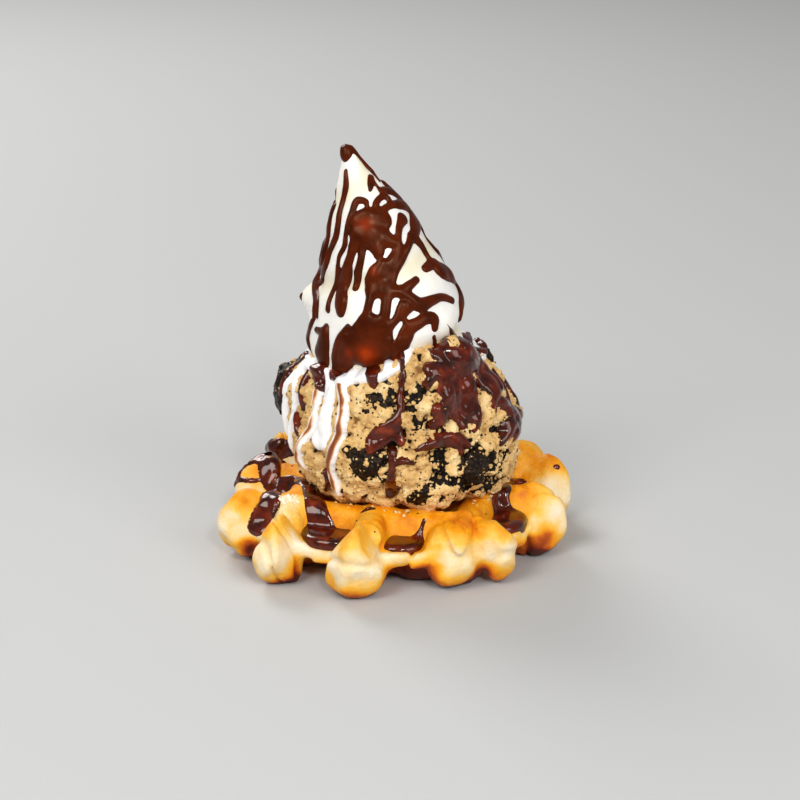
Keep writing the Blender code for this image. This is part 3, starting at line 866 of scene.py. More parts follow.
dough_slow = BROAD_LUMP_HEIGHT * np.clip(lumps, *BROAD_LUMP_RANGE) + swells(dough_base, BROAD_SWELL)
dough_slow = dough_slow * (1 - hold) + CHUNK_HOLD * hold
lump_spot = seen_point([LUMP_PIXEL], dough_depth)[0]
dough_slow += LUMP_OUT * hump(np.linalg.norm(dough_base - lump_spot, axis=1), 0, LUMP_REACH)
dough_fine = swells(dough_base, GRIT_SWELL)
for height, size, seed in GRAIN_LAYERS:
    dough_fine = dough_fine + height * (lump_noise(dough_base, size, seed) - CRUMB_MEAN)
dough_relief = (dough_slow + CRUMB_HEIGHT * crumbs + dough_fine - COOKIE_SUNK * cookie_share) * dough_side
dough_slow = dough_slow * dough_side
# Painted shade for the hollows between crumbs, from 0 to 1.
dough_crevice_shade = smooth_rise(CREVICE_SHADE_AT_CRUMBS * crumbs + dough_fine, *CREVICE_SHADE_RANGE)

# Cookie dough: flour, butter and brown sugar, matt and short, speckled with fine cookie dust, with painted
# shade browning the hollows between crumbs. Its cookie attribute turns it to the black, sandy crumb of the
# cookies.
dough, dough_tree = new_material(
    "chilled_cookie_dough", Roughness=0.5, Specular_IOR_Level=0.2, Specular_Tint=(1, 0.88, 0.74, 1),
)
DOUGH_MOTTLE = 0.005
SPECK_SIZE = 0.0017
SPECK_COLOUR = "#3B2413"
CREVICE_SHADE_COLOUR = "#84592E"
COOKIE_COLOUR = "#0D0705"
GRAIN_SIZE = 0.0007
GRAIN_DEPTH = 0.0005
dough_place = add_node(dough_tree, "TexCoord").outputs["Object"]
dough_tone = add_node(dough_tree, "TexNoise", {"Vector": dough_place, "Scale": 1 / DOUGH_MOTTLE, "Detail": 4})
dough_ramp = add_node(dough_tree, "ValToRGB", {"Fac": dough_tone.outputs["Fac"]}, stops=(
    (0.3, "#C2965C"), (0.5, "#E0B674"), (0.7, "#F0D29A"),
))
speck_cells = add_node(dough_tree, "TexVoronoi", {"Vector": dough_place, "Scale": 1 / SPECK_SIZE})
specks = add_node(dough_tree, "MapRange", {
    "Value": speck_cells.outputs["Distance"], "From Min": 0.16, "From Max": 0.3, "To Min": 1, "To Max": 0,
})
speck_choice = add_node(dough_tree, "MapRange", {
    "Value": speck_cells.outputs["Color"], "From Min": 0.42, "From Max": 0.46,
})
speck_mask = add_node(dough_tree, "Math", {
    0: specks.outputs["Result"], 1: speck_choice.outputs["Result"],
}, operation="MULTIPLY")
speckled = add_node(dough_tree, "Mix", {
    "Factor": speck_mask.outputs["Value"], "A": dough_ramp.outputs["Color"], "B": linear_colour(SPECK_COLOUR),
}, data_type="RGBA")
# Painted shade: a darker brown is mixed into the hollows between crumbs.
crevice_shade_value = add_node(dough_tree, "Attribute", attribute_name="crevice_shade").outputs["Fac"]
shaded = add_node(dough_tree, "Mix", {
    "Factor": crevice_shade_value, "A": speckled.outputs["Result"], "B": linear_colour(CREVICE_SHADE_COLOUR),
}, data_type="RGBA")
cookie_value = add_node(dough_tree, "Attribute", attribute_name="cookie").outputs["Fac"]
cookie_grain = add_node(dough_tree, "TexNoise", {
    "Vector": dough_place, "Scale": 1 / GRAIN_SIZE, "Detail": 2,
})
cookie_edge = add_node(dough_tree, "Math", {
    0: cookie_grain.outputs["Fac"], 1: 0.6, 2: cookie_value,
}, operation="MULTIPLY_ADD")
# Pale crumbs of dough lie among the black ones and break their patches up.
pale_choice = add_node(dough_tree, "MapRange", {
    "Value": speck_cells.outputs["Color"], "From Min": 0.38, "From Max": 0.42, "To Min": 1, "To Max": 0,
})
pale_round = add_node(dough_tree, "MapRange", {
    "Value": speck_cells.outputs["Distance"], "From Min": 0.3, "From Max": 0.5, "To Min": 1, "To Max": 0,
})
pale_grains = add_node(dough_tree, "Math", {
    0: pale_choice.outputs["Result"], 1: pale_round.outputs["Result"],
}, operation="MULTIPLY")
cookie_broken = add_node(dough_tree, "Math", {
    0: cookie_edge.outputs["Value"], 1: pale_grains.outputs["Value"],
}, operation="SUBTRACT")
cookie_mask = add_node(dough_tree, "MapRange", {
    "Value": cookie_broken.outputs["Value"], "From Min": 1.0, "From Max": 1.12,
})
dough_colour = add_node(dough_tree, "Mix", {
    "Factor": cookie_mask.outputs["Result"], "A": shaded.outputs["Result"], "B": linear_colour(COOKIE_COLOUR),
}, data_type="RGBA")
finish_material(dough_tree, dough_colour.outputs["Result"], cookie_grain.outputs["Fac"], 0.9, GRAIN_DEPTH)

dough_points = dough_base + dough_relief[:, None] * dough_normals
add_piece(
    "cookie_dough_mound", dough_points, turned_faces(DOUGH_GRID), dough, ["cookie_dough"],
    {"cookie": cookie_share, "crevice_shade": dough_crevice_shade},
)

# Cookie chunks
# Broken pieces of black sandwich cookie pressed into the dough: short, sandy and a little moist. Each is
# a ball squared into a tilted block, crumbled by three sizes of lumps, and stands in its node's place.

CHUNK_GRID = ((84, 56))
CHUNK_SQUARENESS = 3.4
# How far a chunk stands out of the mound before it is pressed back, in mm; two at the edge stand free.
CHUNK_PROUD = {1: 7, 2: 12}
CHUNK_USUALLY_PROUD = 1.2
CHUNK_PRESSED = 0.55
CHUNK_TILT = 1.4
CHUNK_FILL = 0.96
# Lumps of a chunk, each with its height and size in mm and seed, and how much is worn off them.
CHUNK_LUMPS = ((1.5, 4.5, 51), (0.9, 1.9, 52), (0.35, 0.9, 53))
CHUNK_WORN = 1.4
CHUNK_GRAIN_DEPTH = 0.0004
cookie, cookie_tree = new_material(
    "black_cookie_crumb", Roughness=0.34, Specular_IOR_Level=0.22, Specular_Tint=(1, 0.8, 0.65, 1),
)
cookie_place = add_node(cookie_tree, "TexCoord").outputs["Object"]
cookie_noise = add_node(cookie_tree, "TexNoise", {
    "Vector": cookie_place, "Scale": 1 / GRAIN_SIZE, "Detail": 4,
})
cookie_ramp = add_node(cookie_tree, "ValToRGB", {"Fac": cookie_noise.outputs["Fac"]}, stops=(
    (0.35, "#060201"), (0.56, "#140904"), (0.74, "#54361C"),
))
finish_material(
    cookie_tree, cookie_ramp.outputs["Color"], cookie_noise.outputs["Fac"], 0.8, CHUNK_GRAIN_DEPTH,
)

chunk_skins = []
for number in range(1, CHUNK_COUNT + 1):
    node = f"cookie_chunk_{number}"
    low, high = node_box(node)
    azimuth, level = turned_grid(CHUNK_GRID)
    polar = np.pi * level
    ball = np.stack((np.sin(polar) * np.cos(azimuth), np.sin(polar) * np.sin(azimuth), -np.cos(polar)), -1)
    block = ball / ((np.abs(ball) ** CHUNK_SQUARENESS).sum(1) ** (1 / CHUNK_SQUARENESS))[:, None]
    turns = (hashed(np.array([(number, axis, 0) for axis in (1, 2, 3)]), 50) - 0.5) * CHUNK_TILT
    for axis, turn in enumerate(turns):
        a, b = [i for i in range(3) if i != axis]
        c, s = math.cos(turn), math.sin(turn)
        first, second = block[:, a] * c - block[:, b] * s, block[:, a] * s + block[:, b] * c
        block[:, a], block[:, b] = first, second
    block /= np.abs(block).max(0)
    points = (low + high) / 2 + block * (high - low) / 2 * CHUNK_FILL
    broken = sum(height * lump_noise(points, size, seed) for height, size, seed in CHUNK_LUMPS) - CHUNK_WORN
    proud = dough_depth(points) - CHUNK_PROUD.get(number, CHUNK_USUALLY_PROUD)
    pressed = np.where(proud > 0, proud * CHUNK_PRESSED, 0)
    out = points - np.array((*DOUGH_CENTRE, DOUGH_WAIST_HEIGHT))
    points = points - pressed[:, None] * out / np.linalg.norm(out, axis=1, keepdims=True)
    points = points + broken[:, None] * ball
    chunk_skins.append(points)
    add_piece(f"cookie_piece_{number}", points, turned_faces(CHUNK_GRID), cookie, [node])

# Soft serve
# Vanilla soft ice drawn into a leaning peak: turns of cream that have sunk into each other and begun to
# melt, white on the swells, with painted shade, darker and yellower, in the creases.

SWIRL_START = np.array((-4, 2))
SWIRL_FOOT = next(node_box("soft_serve"))[2]
SWIRL_TOP = 134.5
SWIRL_SHOULDER = 78
SWIRL_RADIUS = 24.8
SWIRL_FOOT_FLARE = 1.6
SWIRL_TAPER = 1.35
SWIRL_LEAN = -13.7
SWIRL_LEAN_POWER = 1.6
SWIRL_LEAST_RADIUS = 0.3
SWIRL_PEAK_SHARE = 0.015
# Uneven skin: swells, each with its height and size in mm and seed.
SWIRL_SWELLS = ((0.55, 8, 61), (0.16, 3, 62))
CREASE_PITCH = 27
CREASE_DEPTH = 2.2
CREASE_HEIGHT = 75
CREASE_WIDTH = 0.16
CURL_CENTRE = np.array((-28, 8, 84))
CURL_RADII = np.array((5.5, 5.5, 7))
CURL_REACH = 6
CURL_DIRECTION = np.array((-0.97, 0.2, 0.1))
CURL_SPREAD = 1.05
SWIRL_CAP = 0.05
FOOT_FILLET = 0.8
FOOT_FILLET_HEIGHT = 7
# The fillet at the foot comes and goes in waves: how strong, how many round the foot, and their start.
FOOT_WAVES = ((0.45, 3, 1), (0.3, 7, 0))
SWIRL_GRID = ((380, 175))


def swirl_crease(azimuth, z):
    """1 in the crease that climbs one pitch a turn, and 0 on the swell between."""
    turns = (z - CREASE_HEIGHT) / CREASE_PITCH - azimuth / math.tau
    return hump(turns, np.round(turns), CREASE_WIDTH)


def swirl_radius(azimuth, z):
    """The cone's radius: it falls towards the peak by a power, and the crease is cut into it."""
    share = np.clip((z - SWIRL_SHOULDER) / (SWIRL_TOP - SWIRL_SHOULDER), 0, 1)
    flare = np.clip((SWIRL_SHOULDER - z) / (SWIRL_SHOULDER - SWIRL_FOOT), 0, 1)
    radius = SWIRL_RADIUS * (1 - share**SWIRL_TAPER)
    radius = radius + SWIRL_FOOT_FLARE * np.sqrt(flare) * np.sin(azimuth / 2) ** 2
    crease = CREASE_DEPTH * swirl_crease(azimuth, z) * radius / SWIRL_RADIUS
    return np.maximum(radius - crease, SWIRL_LEAST_RADIUS)


def swirl_middle(z):
    """Where the cone's middle line is at a height: upright at the foot, then leaning over to the left."""
    share = np.clip((z - SWIRL_SHOULDER) / (SWIRL_TOP - SWIRL_SHOULDER), 0, 1)
    return SWIRL_START[0] + SWIRL_LEAN * share**SWIRL_LEAN_POWER


def swirl_surface(azimuth, level):
    """The cream: a foot disc, then the leaning cone up to its peak, as level goes from 0 to 1."""
    share = np.clip((level - SWIRL_CAP) / (1 - SWIRL_CAP), 0, 1)
    z = SWIRL_FOOT + (SWIRL_TOP - SWIRL_FOOT) * share
    melting = np.clip((SWIRL_FOOT + FOOT_FILLET_HEIGHT - z) / FOOT_FILLET_HEIGHT, 0, 1) ** 2
    waves = 1 + sum(size * np.sin(count * azimuth + start) for size, count, start in FOOT_WAVES)
    radius = swirl_radius(azimuth, z) + FOOT_FILLET * melting * waves
    radius = radius * np.clip(level / SWIRL_CAP, 0, 1)
    radius = radius * np.sqrt(np.clip((1 - share) / SWIRL_PEAK_SHARE, 0, 1))
    x, y = swirl_middle(z) + radius * np.cos(azimuth), SWIRL_START[1] + radius * np.sin(azimuth)
    return np.stack((x, y, z), -1)


def swirl_depth(points):
    """Distance outside the smooth cream, measured level by level."""
    z = np.clip(points[:, 2], SWIRL_FOOT, SWIRL_TOP)
    x, y = points[:, 0] - swirl_middle(z), points[:, 1] - SWIRL_START[1]
    side = np.hypot(x, y) - swirl_radius(np.arctan2(y, x), z)
    side = np.maximum(side, np.maximum(points[:, 2] - SWIRL_TOP, SWIRL_FOOT - points[:, 2]))
    return np.minimum(side, ball_depth(points, CURL_CENTRE, CURL_RADII))


swirl_azimuth, swirl_level = turned_grid(SWIRL_GRID)
swirl_base = swirl_surface(swirl_azimuth, swirl_level)
swirl_normals = surface_normals(swirl_surface, swirl_azimuth, swirl_level)
swirl_side = smooth_rise(swirl_level, 0, SWIRL_CAP) * smooth_rise(1 - swirl_level, 0, 0.02)
# The curl on the left is the same skin, pushed out to the left in a round bump.
off_curl = np.linalg.norm((swirl_base - CURL_CENTRE) / (CURL_RADII * CURL_SPREAD), axis=1)
swirl_relief = swells(swirl_base, *SWIRL_SWELLS)
swirl_skin = swirl_base + (swirl_relief * swirl_side)[:, None] * swirl_normals
swirl_skin += (CURL_REACH * np.exp(-(off_curl**3)))[:, None] * CURL_DIRECTION

# Soft-serve cream: milk and air, so light goes in and comes out softly, with a wet sheen where it melts.
cream, cream_tree = new_material(
    "vanilla_soft_serve", Roughness=0.34, Subsurface_Weight=0.35, Subsurface_Scale=0.003,
    Subsurface_Radius=(1, 0.85, 0.65), Specular_IOR_Level=0.45,
)
CREAM_SWIRL = 0.009
CREAM_SWIRL_DEPTH = 0.0006
cream_place = add_node(cream_tree, "TexCoord").outputs["Object"]
# Painted shade: the creases are coloured darker and yellower than the swells.
cream_crease_shade = add_node(cream_tree, "Attribute", attribute_name="crease").outputs["Fac"]
cream_shade_ramp = add_node(cream_tree, "ValToRGB", {"Fac": cream_crease_shade}, stops=(
    (0, "#F9F4EC"), (0.5, "#F7F0E0"), (1, "#F0E6CA"),
))
cream_noise = add_node(cream_tree, "TexNoise", {"Vector": cream_place, "Scale": 1 / CREAM_SWIRL, "Detail": 6})
finish_material(cream_tree, cream_shade_ramp.outputs["Color"], cream_noise.outputs["Fac"], 0.25, CREAM_SWIRL_DEPTH)
add_piece(
    "soft_serve_swirl", swirl_skin, turned_faces(SWIRL_GRID), cream, ["soft_serve"],
    {"crease": swirl_crease(swirl_azimuth, swirl_base[:, 2]) * swirl_side},
)

# Melted cream
# Soft serve that has melted at its foot and run down the dough: a rim round the top of the mound, and
# tongues that end in drops. Two of the tongues carry sauce down their middles and dry pinkish brown.

MELT_RUNS = (
    ((316, 352, 2.0), (311, 364, 1.4), (305, 378, 1.2), (301, 392, 1.3), (297, 408, 1.4), (295, 424, 1.2),
     (296, 440, 1.1), (298, 454, 0.9)),
    ((331, 380, 1.2), (331, 392, 1.7), (328, 404, 2.1), (327, 416, 2.3), (325, 428, 2.9), (323, 438, 3.0)),
    ((349, 383, 1.2), (353, 372, 1.9), (361, 368, 2.0), (368, 377, 1.2)),
    ((391, 346, 1.6), (390, 358, 1.4), (389, 370, 0.9)),
    ((408, 352, 1.6), (404, 360, 1.2), (400, 368, 0.8)),
)
STAINED_RUNS = (
    ((322, 388, 1.1), (317, 402, 1.1), (315, 416, 1.1), (312, 430, 1.2), (307, 444, 1.4), (306, 456, 1.3),
     (311, 467, 1.1)),
    ((349, 372, 1.2), (343, 384, 1.4), (346, 398, 1.4), (347, 411, 1.4), (344, 426, 1.5), (340, 440, 1.5),
     (336, 453, 1.6), (333, 466, 1.5), (337, 479, 1.3), (342, 490, 1.0)),
)
# Tongues out of the photo's sight: azimuth in degrees, from what height to what height, half width in mm.
HIDDEN_MELT_RUNS = (
    (184, 62, 30, 1.6), (50, 63, 42, 1.5), (82, 63, 33, 1.7), (117, 63, 50, 1.8), (152, 63, 35, 1.9),
)
STROKE_SPREAD = 1.3
MELT_THICKNESS = 1.7
MELT_EDGE = 1.1
MELT_SINK = 1.6
MELT_JOIN = 1.2
MELT_WOBBLE = (0.3, 3.5, 71)
# How much of the crumbs' relief a coat fills in, how far it lies above them, and how deep they may cut it.
MELT_FILL = 0.8
COAT_RISE = 0.7
COAT_CUT = 1
LEAST_DOUGH_SIDE = 0.02
# The rim round the foot of the cream: its height, half width and waves in mm. It thins before the ledge.
RIM_HEIGHT = 63
RIM_HALF_WIDTH = 2.2
RIM_WAVE = 0.8
RIM_WAVES_UP = 5
RIM_WAVES_OUT = 7
RIM_WIDTH_SHARE = 0.8
RIM_THINNING = 1.8
STAIN_JOIN = 0.8
STAIN_RANGE = (-0.7, -1.8)
STAIN_SWELL = (0.5, 3, 72)
STAIN_CLEAR = -0.4


def side_path(surface, low, high, heights, azimuths, half):
    """A path down a turned surface through azimuths (degrees) and heights, as x, y, z and half width."""
    cap = (DOUGH_CAP, 1 - DOUGH_CAP) if surface is dough_surface else (SWIRL_CAP, 1)
    level = cap[0] + (cap[1] - cap[0]) * (np.asarray(heights, float) - low) / (high - low)
    return np.column_stack((surface(np.radians(azimuths), level), np.broadcast_to(half, len(level))))


def dough_path(heights, azimuths, half):
    return side_path(dough_surface, DOUGH_FOOT, DOUGH_TOP, heights, azimuths, half)


def swirl_path(heights, azimuths, half):
    return side_path(swirl_surface, SWIRL_FOOT, SWIRL_TOP, heights, azimuths, half)


def served_depth(points):
    """Depth of the cream and the mound together, for strokes that run from one onto the other."""
    return np.minimum(swirl_depth(points), dough_depth(points))


def coat_offset(height, fill, under=-math.inf):
    """How far a coat's skin lies off the smooth mound: over filled-in crumbs, and sunk beyond its edge."""
    bed = np.maximum((1 - fill) * dough_relief + fill * dough_slow + COAT_RISE, dough_relief - COAT_CUT)
    return np.where(height > 0, np.maximum(bed, under), dough_relief) + height


def off_mound(offset):
    """Points that lie off the smooth mound, which closes at its poles."""
    return dough_base + (offset * np.maximum(dough_side, LEAST_DOUGH_SIDE))[:, None] * dough_normals


melt_strokes = seen_strokes(MELT_RUNS, served_depth, STROKE_SPREAD)
stained_strokes = seen_strokes(STAINED_RUNS, dough_depth, STROKE_SPREAD)
for azimuth, start, end, half in HIDDEN_MELT_RUNS:
    share = np.linspace(0, 1, 7)
    sway = azimuth + 3 * np.sin(5 * share + azimuth)
    melt_strokes.append(dough_path(start + (end - start) * share, sway, half * (0.75 + 0.4 * share)))
rim_azimuth = np.linspace(0, 360, 61)
rim_height = RIM_HEIGHT - RIM_WAVE * np.sin(np.radians(RIM_WAVES_UP * rim_azimuth)) ** 2
rim_width = RIM_HALF_WIDTH + RIM_WAVE * np.sin(np.radians(RIM_WAVES_OUT * rim_azimuth))
rim_width *= RIM_WIDTH_SHARE + RIM_THINNING * (1 - ledge_stretch(np.radians(rim_azimuth)))
melt_strokes.append(dough_path(rim_height, rim_azimuth, rim_width))

melt_wobble = swells(dough_base, MELT_WOBBLE)
melt_outside = stroke_depth(dough_base, melt_strokes, MELT_JOIN) + melt_wobble
stained_outside = stroke_depth(dough_base, stained_strokes, STAIN_JOIN) + 0.5 * melt_wobble
melt_height = coat_height(np.minimum(melt_outside, stained_outside), MELT_THICKNESS, MELT_EDGE, MELT_SINK)
melt_offset = coat_offset(melt_height, MELT_FILL)
stain = smooth_rise(stained_outside + swells(dough_base, STAIN_SWELL), *STAIN_RANGE)
stain *= melt_outside > STAIN_CLEAR

melt, melt_tree = new_material(
    "melted_cream", Roughness=0.22, Subsurface_Weight=0.3, Subsurface_Scale=0.002,
    Subsurface_Radius=(1, 0.85, 0.7), Specular_IOR_Level=0.5,
)
melt_stain = add_node(melt_tree, "Attribute", attribute_name="stain").outputs["Fac"]
melt_ramp = add_node(melt_tree, "ValToRGB", {"Fac": melt_stain}, stops=(
    (0, "#FDFAF7"), (0.3, "#F0D0B0"), (0.65, "#B8703E"), (1, "#7E3C18"),
))
finish_material(melt_tree, melt_ramp.outputs["Color"])
add_piece(
    "melted_cream", off_mound(melt_offset), turned_faces(DOUGH_GRID), melt, (),
    {"stain": stain},
)

# Chocolate
# Warm chocolate sauce drawn over the cream in a zigzag. It set to a satin shell on the cold cream, and
# stayed wet on the dough. Both are coats that rise from the strokes and dive under the skin beyond them.

CREAM_STROKES = (
    ((344, 148, 1.2), (345, 153, 1.6), (345.5, 158, 1.0)),
    ((346, 146.5, 0.9), (352.7, 150.7, 1.0), (361.3, 159.3, 1.0), (368.2, 168, 0.8), (375, 175, 0.6),
     (380, 181, 0.4)),
    ((371.5, 177.5, 0.9), (371, 184, 0.9), (370, 190, 0.5)),
    ((371.5, 178, 0.7), (380, 188.5, 0.6), (387, 199, 0.6), (390.5, 204, 0.6)),
    ((381, 190, 0.8), (389, 191, 1.3), (397, 195, 1.6), (402, 199, 1.2)),
    ((336, 201, 0.5), (333, 212, 0.8), (331, 223, 0.8), (328, 236, 1.0), (322, 246, 1.4), (319, 258, 1.5),
     (317.5, 272, 1.4), (316.5, 290, 1.1), (315.5, 305, 0.9), (313.5, 320, 0.9), (309, 336, 1.2),
     (307, 348, 1.3), (308, 358, 1.0)),
    ((346, 171, 0.6), (346, 187, 0.9), (343, 202, 0.9), (339, 219.5, 1.0), (336, 237, 1.1), (330, 250.5, 1.1),
     (327, 264, 1.1), (323.5, 276, 1.0), (321, 288, 0.8), (318, 302, 0.7), (317, 317, 0.6)),
    ((367, 206, 0.5), (365.5, 201.5, 0.8), (359.5, 200, 0.9), (356, 202, 0.9), (352.7, 211, 0.8),
     (348.5, 223, 0.7), (346, 237, 0.7), (344, 247, 0.7), (339, 257.5, 0.7), (338, 271, 0.7), (336, 285, 0.7),
     (330, 299, 0.7), (327.5, 310, 0.9)),
    ((358, 219.5, 1.2), (355, 233, 1.1), (353.5, 244, 1.1), (349, 261, 1.2), (346, 276, 1.5),
     (342.5, 290, 1.7), (341.5, 302, 1.9), (340.6, 311, 1.4)),
    ((363, 242, 1.2), (361, 257.5, 0.9), (358, 273, 1.0), (356, 288, 0.9)),
    ((360, 221, 2.0), (370, 219, 2.5), (382, 220, 2.2)),
    ((359, 233, 2.0), (372, 234, 3.0), (384, 238, 2.0), (396, 243, 1.2)),
    ((374, 240, 2.2), (378, 250, 1.5), (378, 255, 1.0)),
    ((377.6, 211, 1.0), (376, 204, 0.9), (380, 198, 0.8), (385.5, 196, 0.8), (389, 199, 0.6)),
    ((380, 211, 0.9), (389, 206, 0.9), (397.5, 205, 1.3), (407, 208.5, 2.0), (412.5, 216, 2.2),
     (415, 226, 1.8), (413, 236, 1.2)),
    ((402, 219, 1.5), (399, 228, 1.0), (398, 240, 1.0), (399, 250, 1.4), (394, 262, 1.7), (388, 272, 1.8)),
    ((411, 237, 1.2), (408, 247, 1.0), (403, 257.5, 1.1), (396, 266, 1.3), (389, 276.5, 1.6)),
    ((416, 240, 1.2), (423, 250.5, 1.0), (430, 261, 0.9), (435, 266, 1.2)),
    ((425, 269, 1.0), (433, 264, 1.5), (441, 270, 2.1), (450, 275, 1.9), (455, 279, 1.4)),
    ((455, 278, 1.2), (459, 287, 1.6), (461, 297, 1.7), (461, 308, 1.3), (459, 319, 0.8)),
    ((413, 214, 0.4), (421, 226, 0.5), (429, 240, 0.4)),
    ((383, 266, 1.6), (377, 277, 2.3), (375, 289, 2.1)),
    ((386, 275, 2.0), (386, 289, 2.1)),
    ((386, 291, 1.8), (400, 291, 1.3), (410, 285, 1.1), (416, 280, 0.9)),
    ((400, 292, 1.4), (411, 299, 1.4), (421, 305, 1.6), (433, 300, 1.2), (443, 297, 1.0), (452, 300, 1.0)),
    ((372, 292, 1.3), (369, 304, 1.0), (366, 316, 1.1), (362, 325, 1.6), (359, 332, 2.0)),
    ((388, 294, 1.3), (386, 306, 1.2), (384, 318, 1.3), (381, 328, 1.8)),
    ((405, 307, 1.8), (398, 317, 1.1), (390, 327, 1.0), (384, 335, 1.2)),
    ((435, 328, 0.9), (434, 319, 1.3), (427, 318, 1.4), (418, 323, 1.4), (409, 329, 1.6), (405, 338, 1.7),
     (401, 347, 1.8), (398, 357, 1.6)),
    ((404, 319, 0.6), (409, 328, 1.0)),
    ((369, 322, 2.0), (372, 330, 2.6), (365, 340, 3.4), (358, 352, 3.2)),
    ((378, 328, 2.6), (378, 345, 3.2), (373, 360, 2.8)),
    ((350, 345, 2.4), (346, 358, 2.2), (341, 370, 1.6)),
    ((374, 362, 2.4), (376, 375, 1.6), (375, 386, 1.1)),
    ((325, 328, 1.2), (323, 340, 2.0), (322, 354, 2.5), (322, 368, 2.2), (323, 381, 1.6), (324, 388, 1.0)),
    ((348, 327, 0.8), (340, 338, 1.1), (336, 350, 1.2), (337, 364, 1.2), (336, 377, 1.2)),
    ((316, 330, 0.9), (322, 333, 1.2)),
    ((434, 337, 0.5), (435, 345, 0.6), (434, 353, 1.0)),
    ((446, 324, 0.4), (450, 331, 0.7), (455, 339, 0.9), (458, 350, 0.9)),
    ((303, 286, 0.5), (299.5, 291, 0.8), (300, 298, 0.8)),
    ((313, 270, 0.5), (311, 274, 0.5)),
)
# Strokes out of the photo's sight: azimuths in degrees, heights and the half width in mm.
HIDDEN_CREAM_STROKES = (
    ((13, 10, 12), (121, 108, 98), 1.2), ((30, 36, 38), (114, 94, 74), 1.4),
    ((62, 58, 60), (118, 100, 82), 1.3),
    ((84, 92, 90), (112, 92, 68), 1.5), ((112, 114, 118), (120, 104, 86), 1.3),
    ((136, 142, 140), (108, 90, 70), 1.5), ((158, 156, 160), (118, 104, 88), 1.2),
    ((190, 194, 191), (114, 100, 96), 1.2), ((20, 26, 24), (98, 84, 70), 0.9),
    ((48, 46, 50), (104, 88, 66), 0.8), ((74, 70, 74), (92, 80, 66), 1.0),
    ((102, 104, 100), (98, 84, 70), 0.9),
    ((126, 130, 128), (96, 84, 66), 1.0), ((168, 166, 170), (96, 80, 66), 0.9),
    ((24, 52, 84, 104), (121, 114, 104, 92), 1.1), ((60, 84, 112, 130), (104, 97, 86, 74), 1.3),
    ((10, 30, 54, 66), (98, 92, 80, 68), 1.2), ((96, 122, 146, 158), (114, 108, 96, 82), 1.1),
    ((140, 150, 164), (84, 76, 67), 1.4),
)
HIDDEN_CREAM_POOLS = (((70, 80), (100, 95), 3.2), ((124, 132), (83, 78), 3.0), ((66, 72), (74, 70), 2.4))
DOUGH_STROKES = (
    ((312, 374, 0.9), (308, 384, 1.1), (306, 396, 1.2), (305, 408, 0.7)),
    ((401, 349, 1.0), (402, 360, 0.8), (403, 372, 0.7), (402, 384, 0.9), (401, 398, 0.9), (401, 410, 1.0),
     (397, 420, 1.6), (391, 428, 2.2)),
    ((392, 428, 2.4), (383, 434, 2.8), (375, 441, 2.3), (372, 449, 1.1)),
    ((396, 434, 1.8), (401, 442, 1.0)),
    ((393, 450, 1.0), (393, 462, 1.0), (392, 474, 1.0), (392, 486, 1.8), (391, 495, 1.6)),
    ((395, 459, 1.2), (404, 458, 1.2), (412, 461, 0.8)),
    ((441, 353, 1.6), (446, 362, 2.2), (441, 370, 1.6), (431, 376, 1.4), (426, 384, 1.2)),
    ((446, 366, 2.0), (447, 378, 1.3), (440, 388, 1.0)),
    ((452, 360, 2.0), (460, 363, 2.0), (468, 366, 2.2), (478, 372, 1.6)),
    ((449, 377, 1.0), (448, 390, 1.4), (448, 401, 1.9), (453, 412, 1.6), (459, 420, 1.6), (464, 427, 1.1)),
    ((466, 370, 2.0), (467, 384, 1.8), (469, 398, 2.2), (472, 412, 2.4), (474, 424, 1.6), (472, 432, 0.8)),
    ((476, 374, 1.0), (482, 388, 1.0), (487, 401, 1.0), (489, 412, 0.7)),
    ((484, 368, 0.7), (491, 382, 0.9), (497, 397, 1.0), (503, 411, 1.5), (509, 418, 1.4), (501, 424, 1.8),
     (499, 434, 1.6), (496, 442, 1.2)),
    ((514, 430, 0.9), (516, 438, 1.3), (514, 445, 1.0)),
    ((436, 410, 2.0), (440, 419, 1.9), (433, 424, 1.4)),
    ((417, 447, 1.0), (428, 442, 1.1), (440, 437, 1.2), (452, 435, 1.3), (460, 438, 1.0), (466, 445, 0.8)),
    ((457, 345, 0.9), (462, 356, 1.2)),
    ((436, 352, 2.4), (446, 356, 2.8), (457, 364, 3.0), (465, 378, 2.8), (469, 394, 2.2)),
    ((430, 370, 2.0), (439, 376, 2.4), (444, 390, 2.2), (446, 402, 1.8)),
    ((462, 350, 1.8), (474, 362, 2.2), (484, 376, 1.8), (490, 390, 1.4)),
    ((444, 346, 1.2), (455, 343, 1.4), (466, 347, 1.6), (476, 356, 1.6)),
    ((492, 404, 1.8), (500, 412, 2.4), (506, 424, 2.6), (504, 436, 1.8)),
    ((476, 366, 2.4), (482, 382, 2.6), (488, 398, 2.0)),
    ((452, 372, 2.4), (458, 386, 2.4), (462, 402, 2.6), (466, 416, 2.0)),
    ((424, 444, 1.4), (436, 440, 1.8), (450, 441, 1.6), (458, 450, 1.2)),
    ((299, 412, 0.6), (301, 424, 0.8), (303, 432, 0.9)),
    ((327, 470, 0.7), (331, 478, 0.8), (330, 486, 0.6)),
)
HIDDEN_DOUGH_STROKES = (
    ((8, 6, 9), (60, 48, 34), 1.2), ((26, 22, 25), (58, 46, 38), 1.0), ((62, 66, 64), (63, 52, 40), 1.5),
    ((98, 96, 100), (63, 48, 30), 1.4), ((128, 132, 130), (63, 50, 36), 1.3),
    ((166, 164, 168), (60, 46, 34), 1.2), ((36, 44, 48), (62, 50, 36), 1.4),
    ((110, 116, 114), (64, 50, 38), 1.2), ((146, 152, 150), (62, 54, 44), 1.5),
    ((80, 84, 82), (62, 54, 46), 1.6),
)
HIDDEN_SPREAD = 1.35
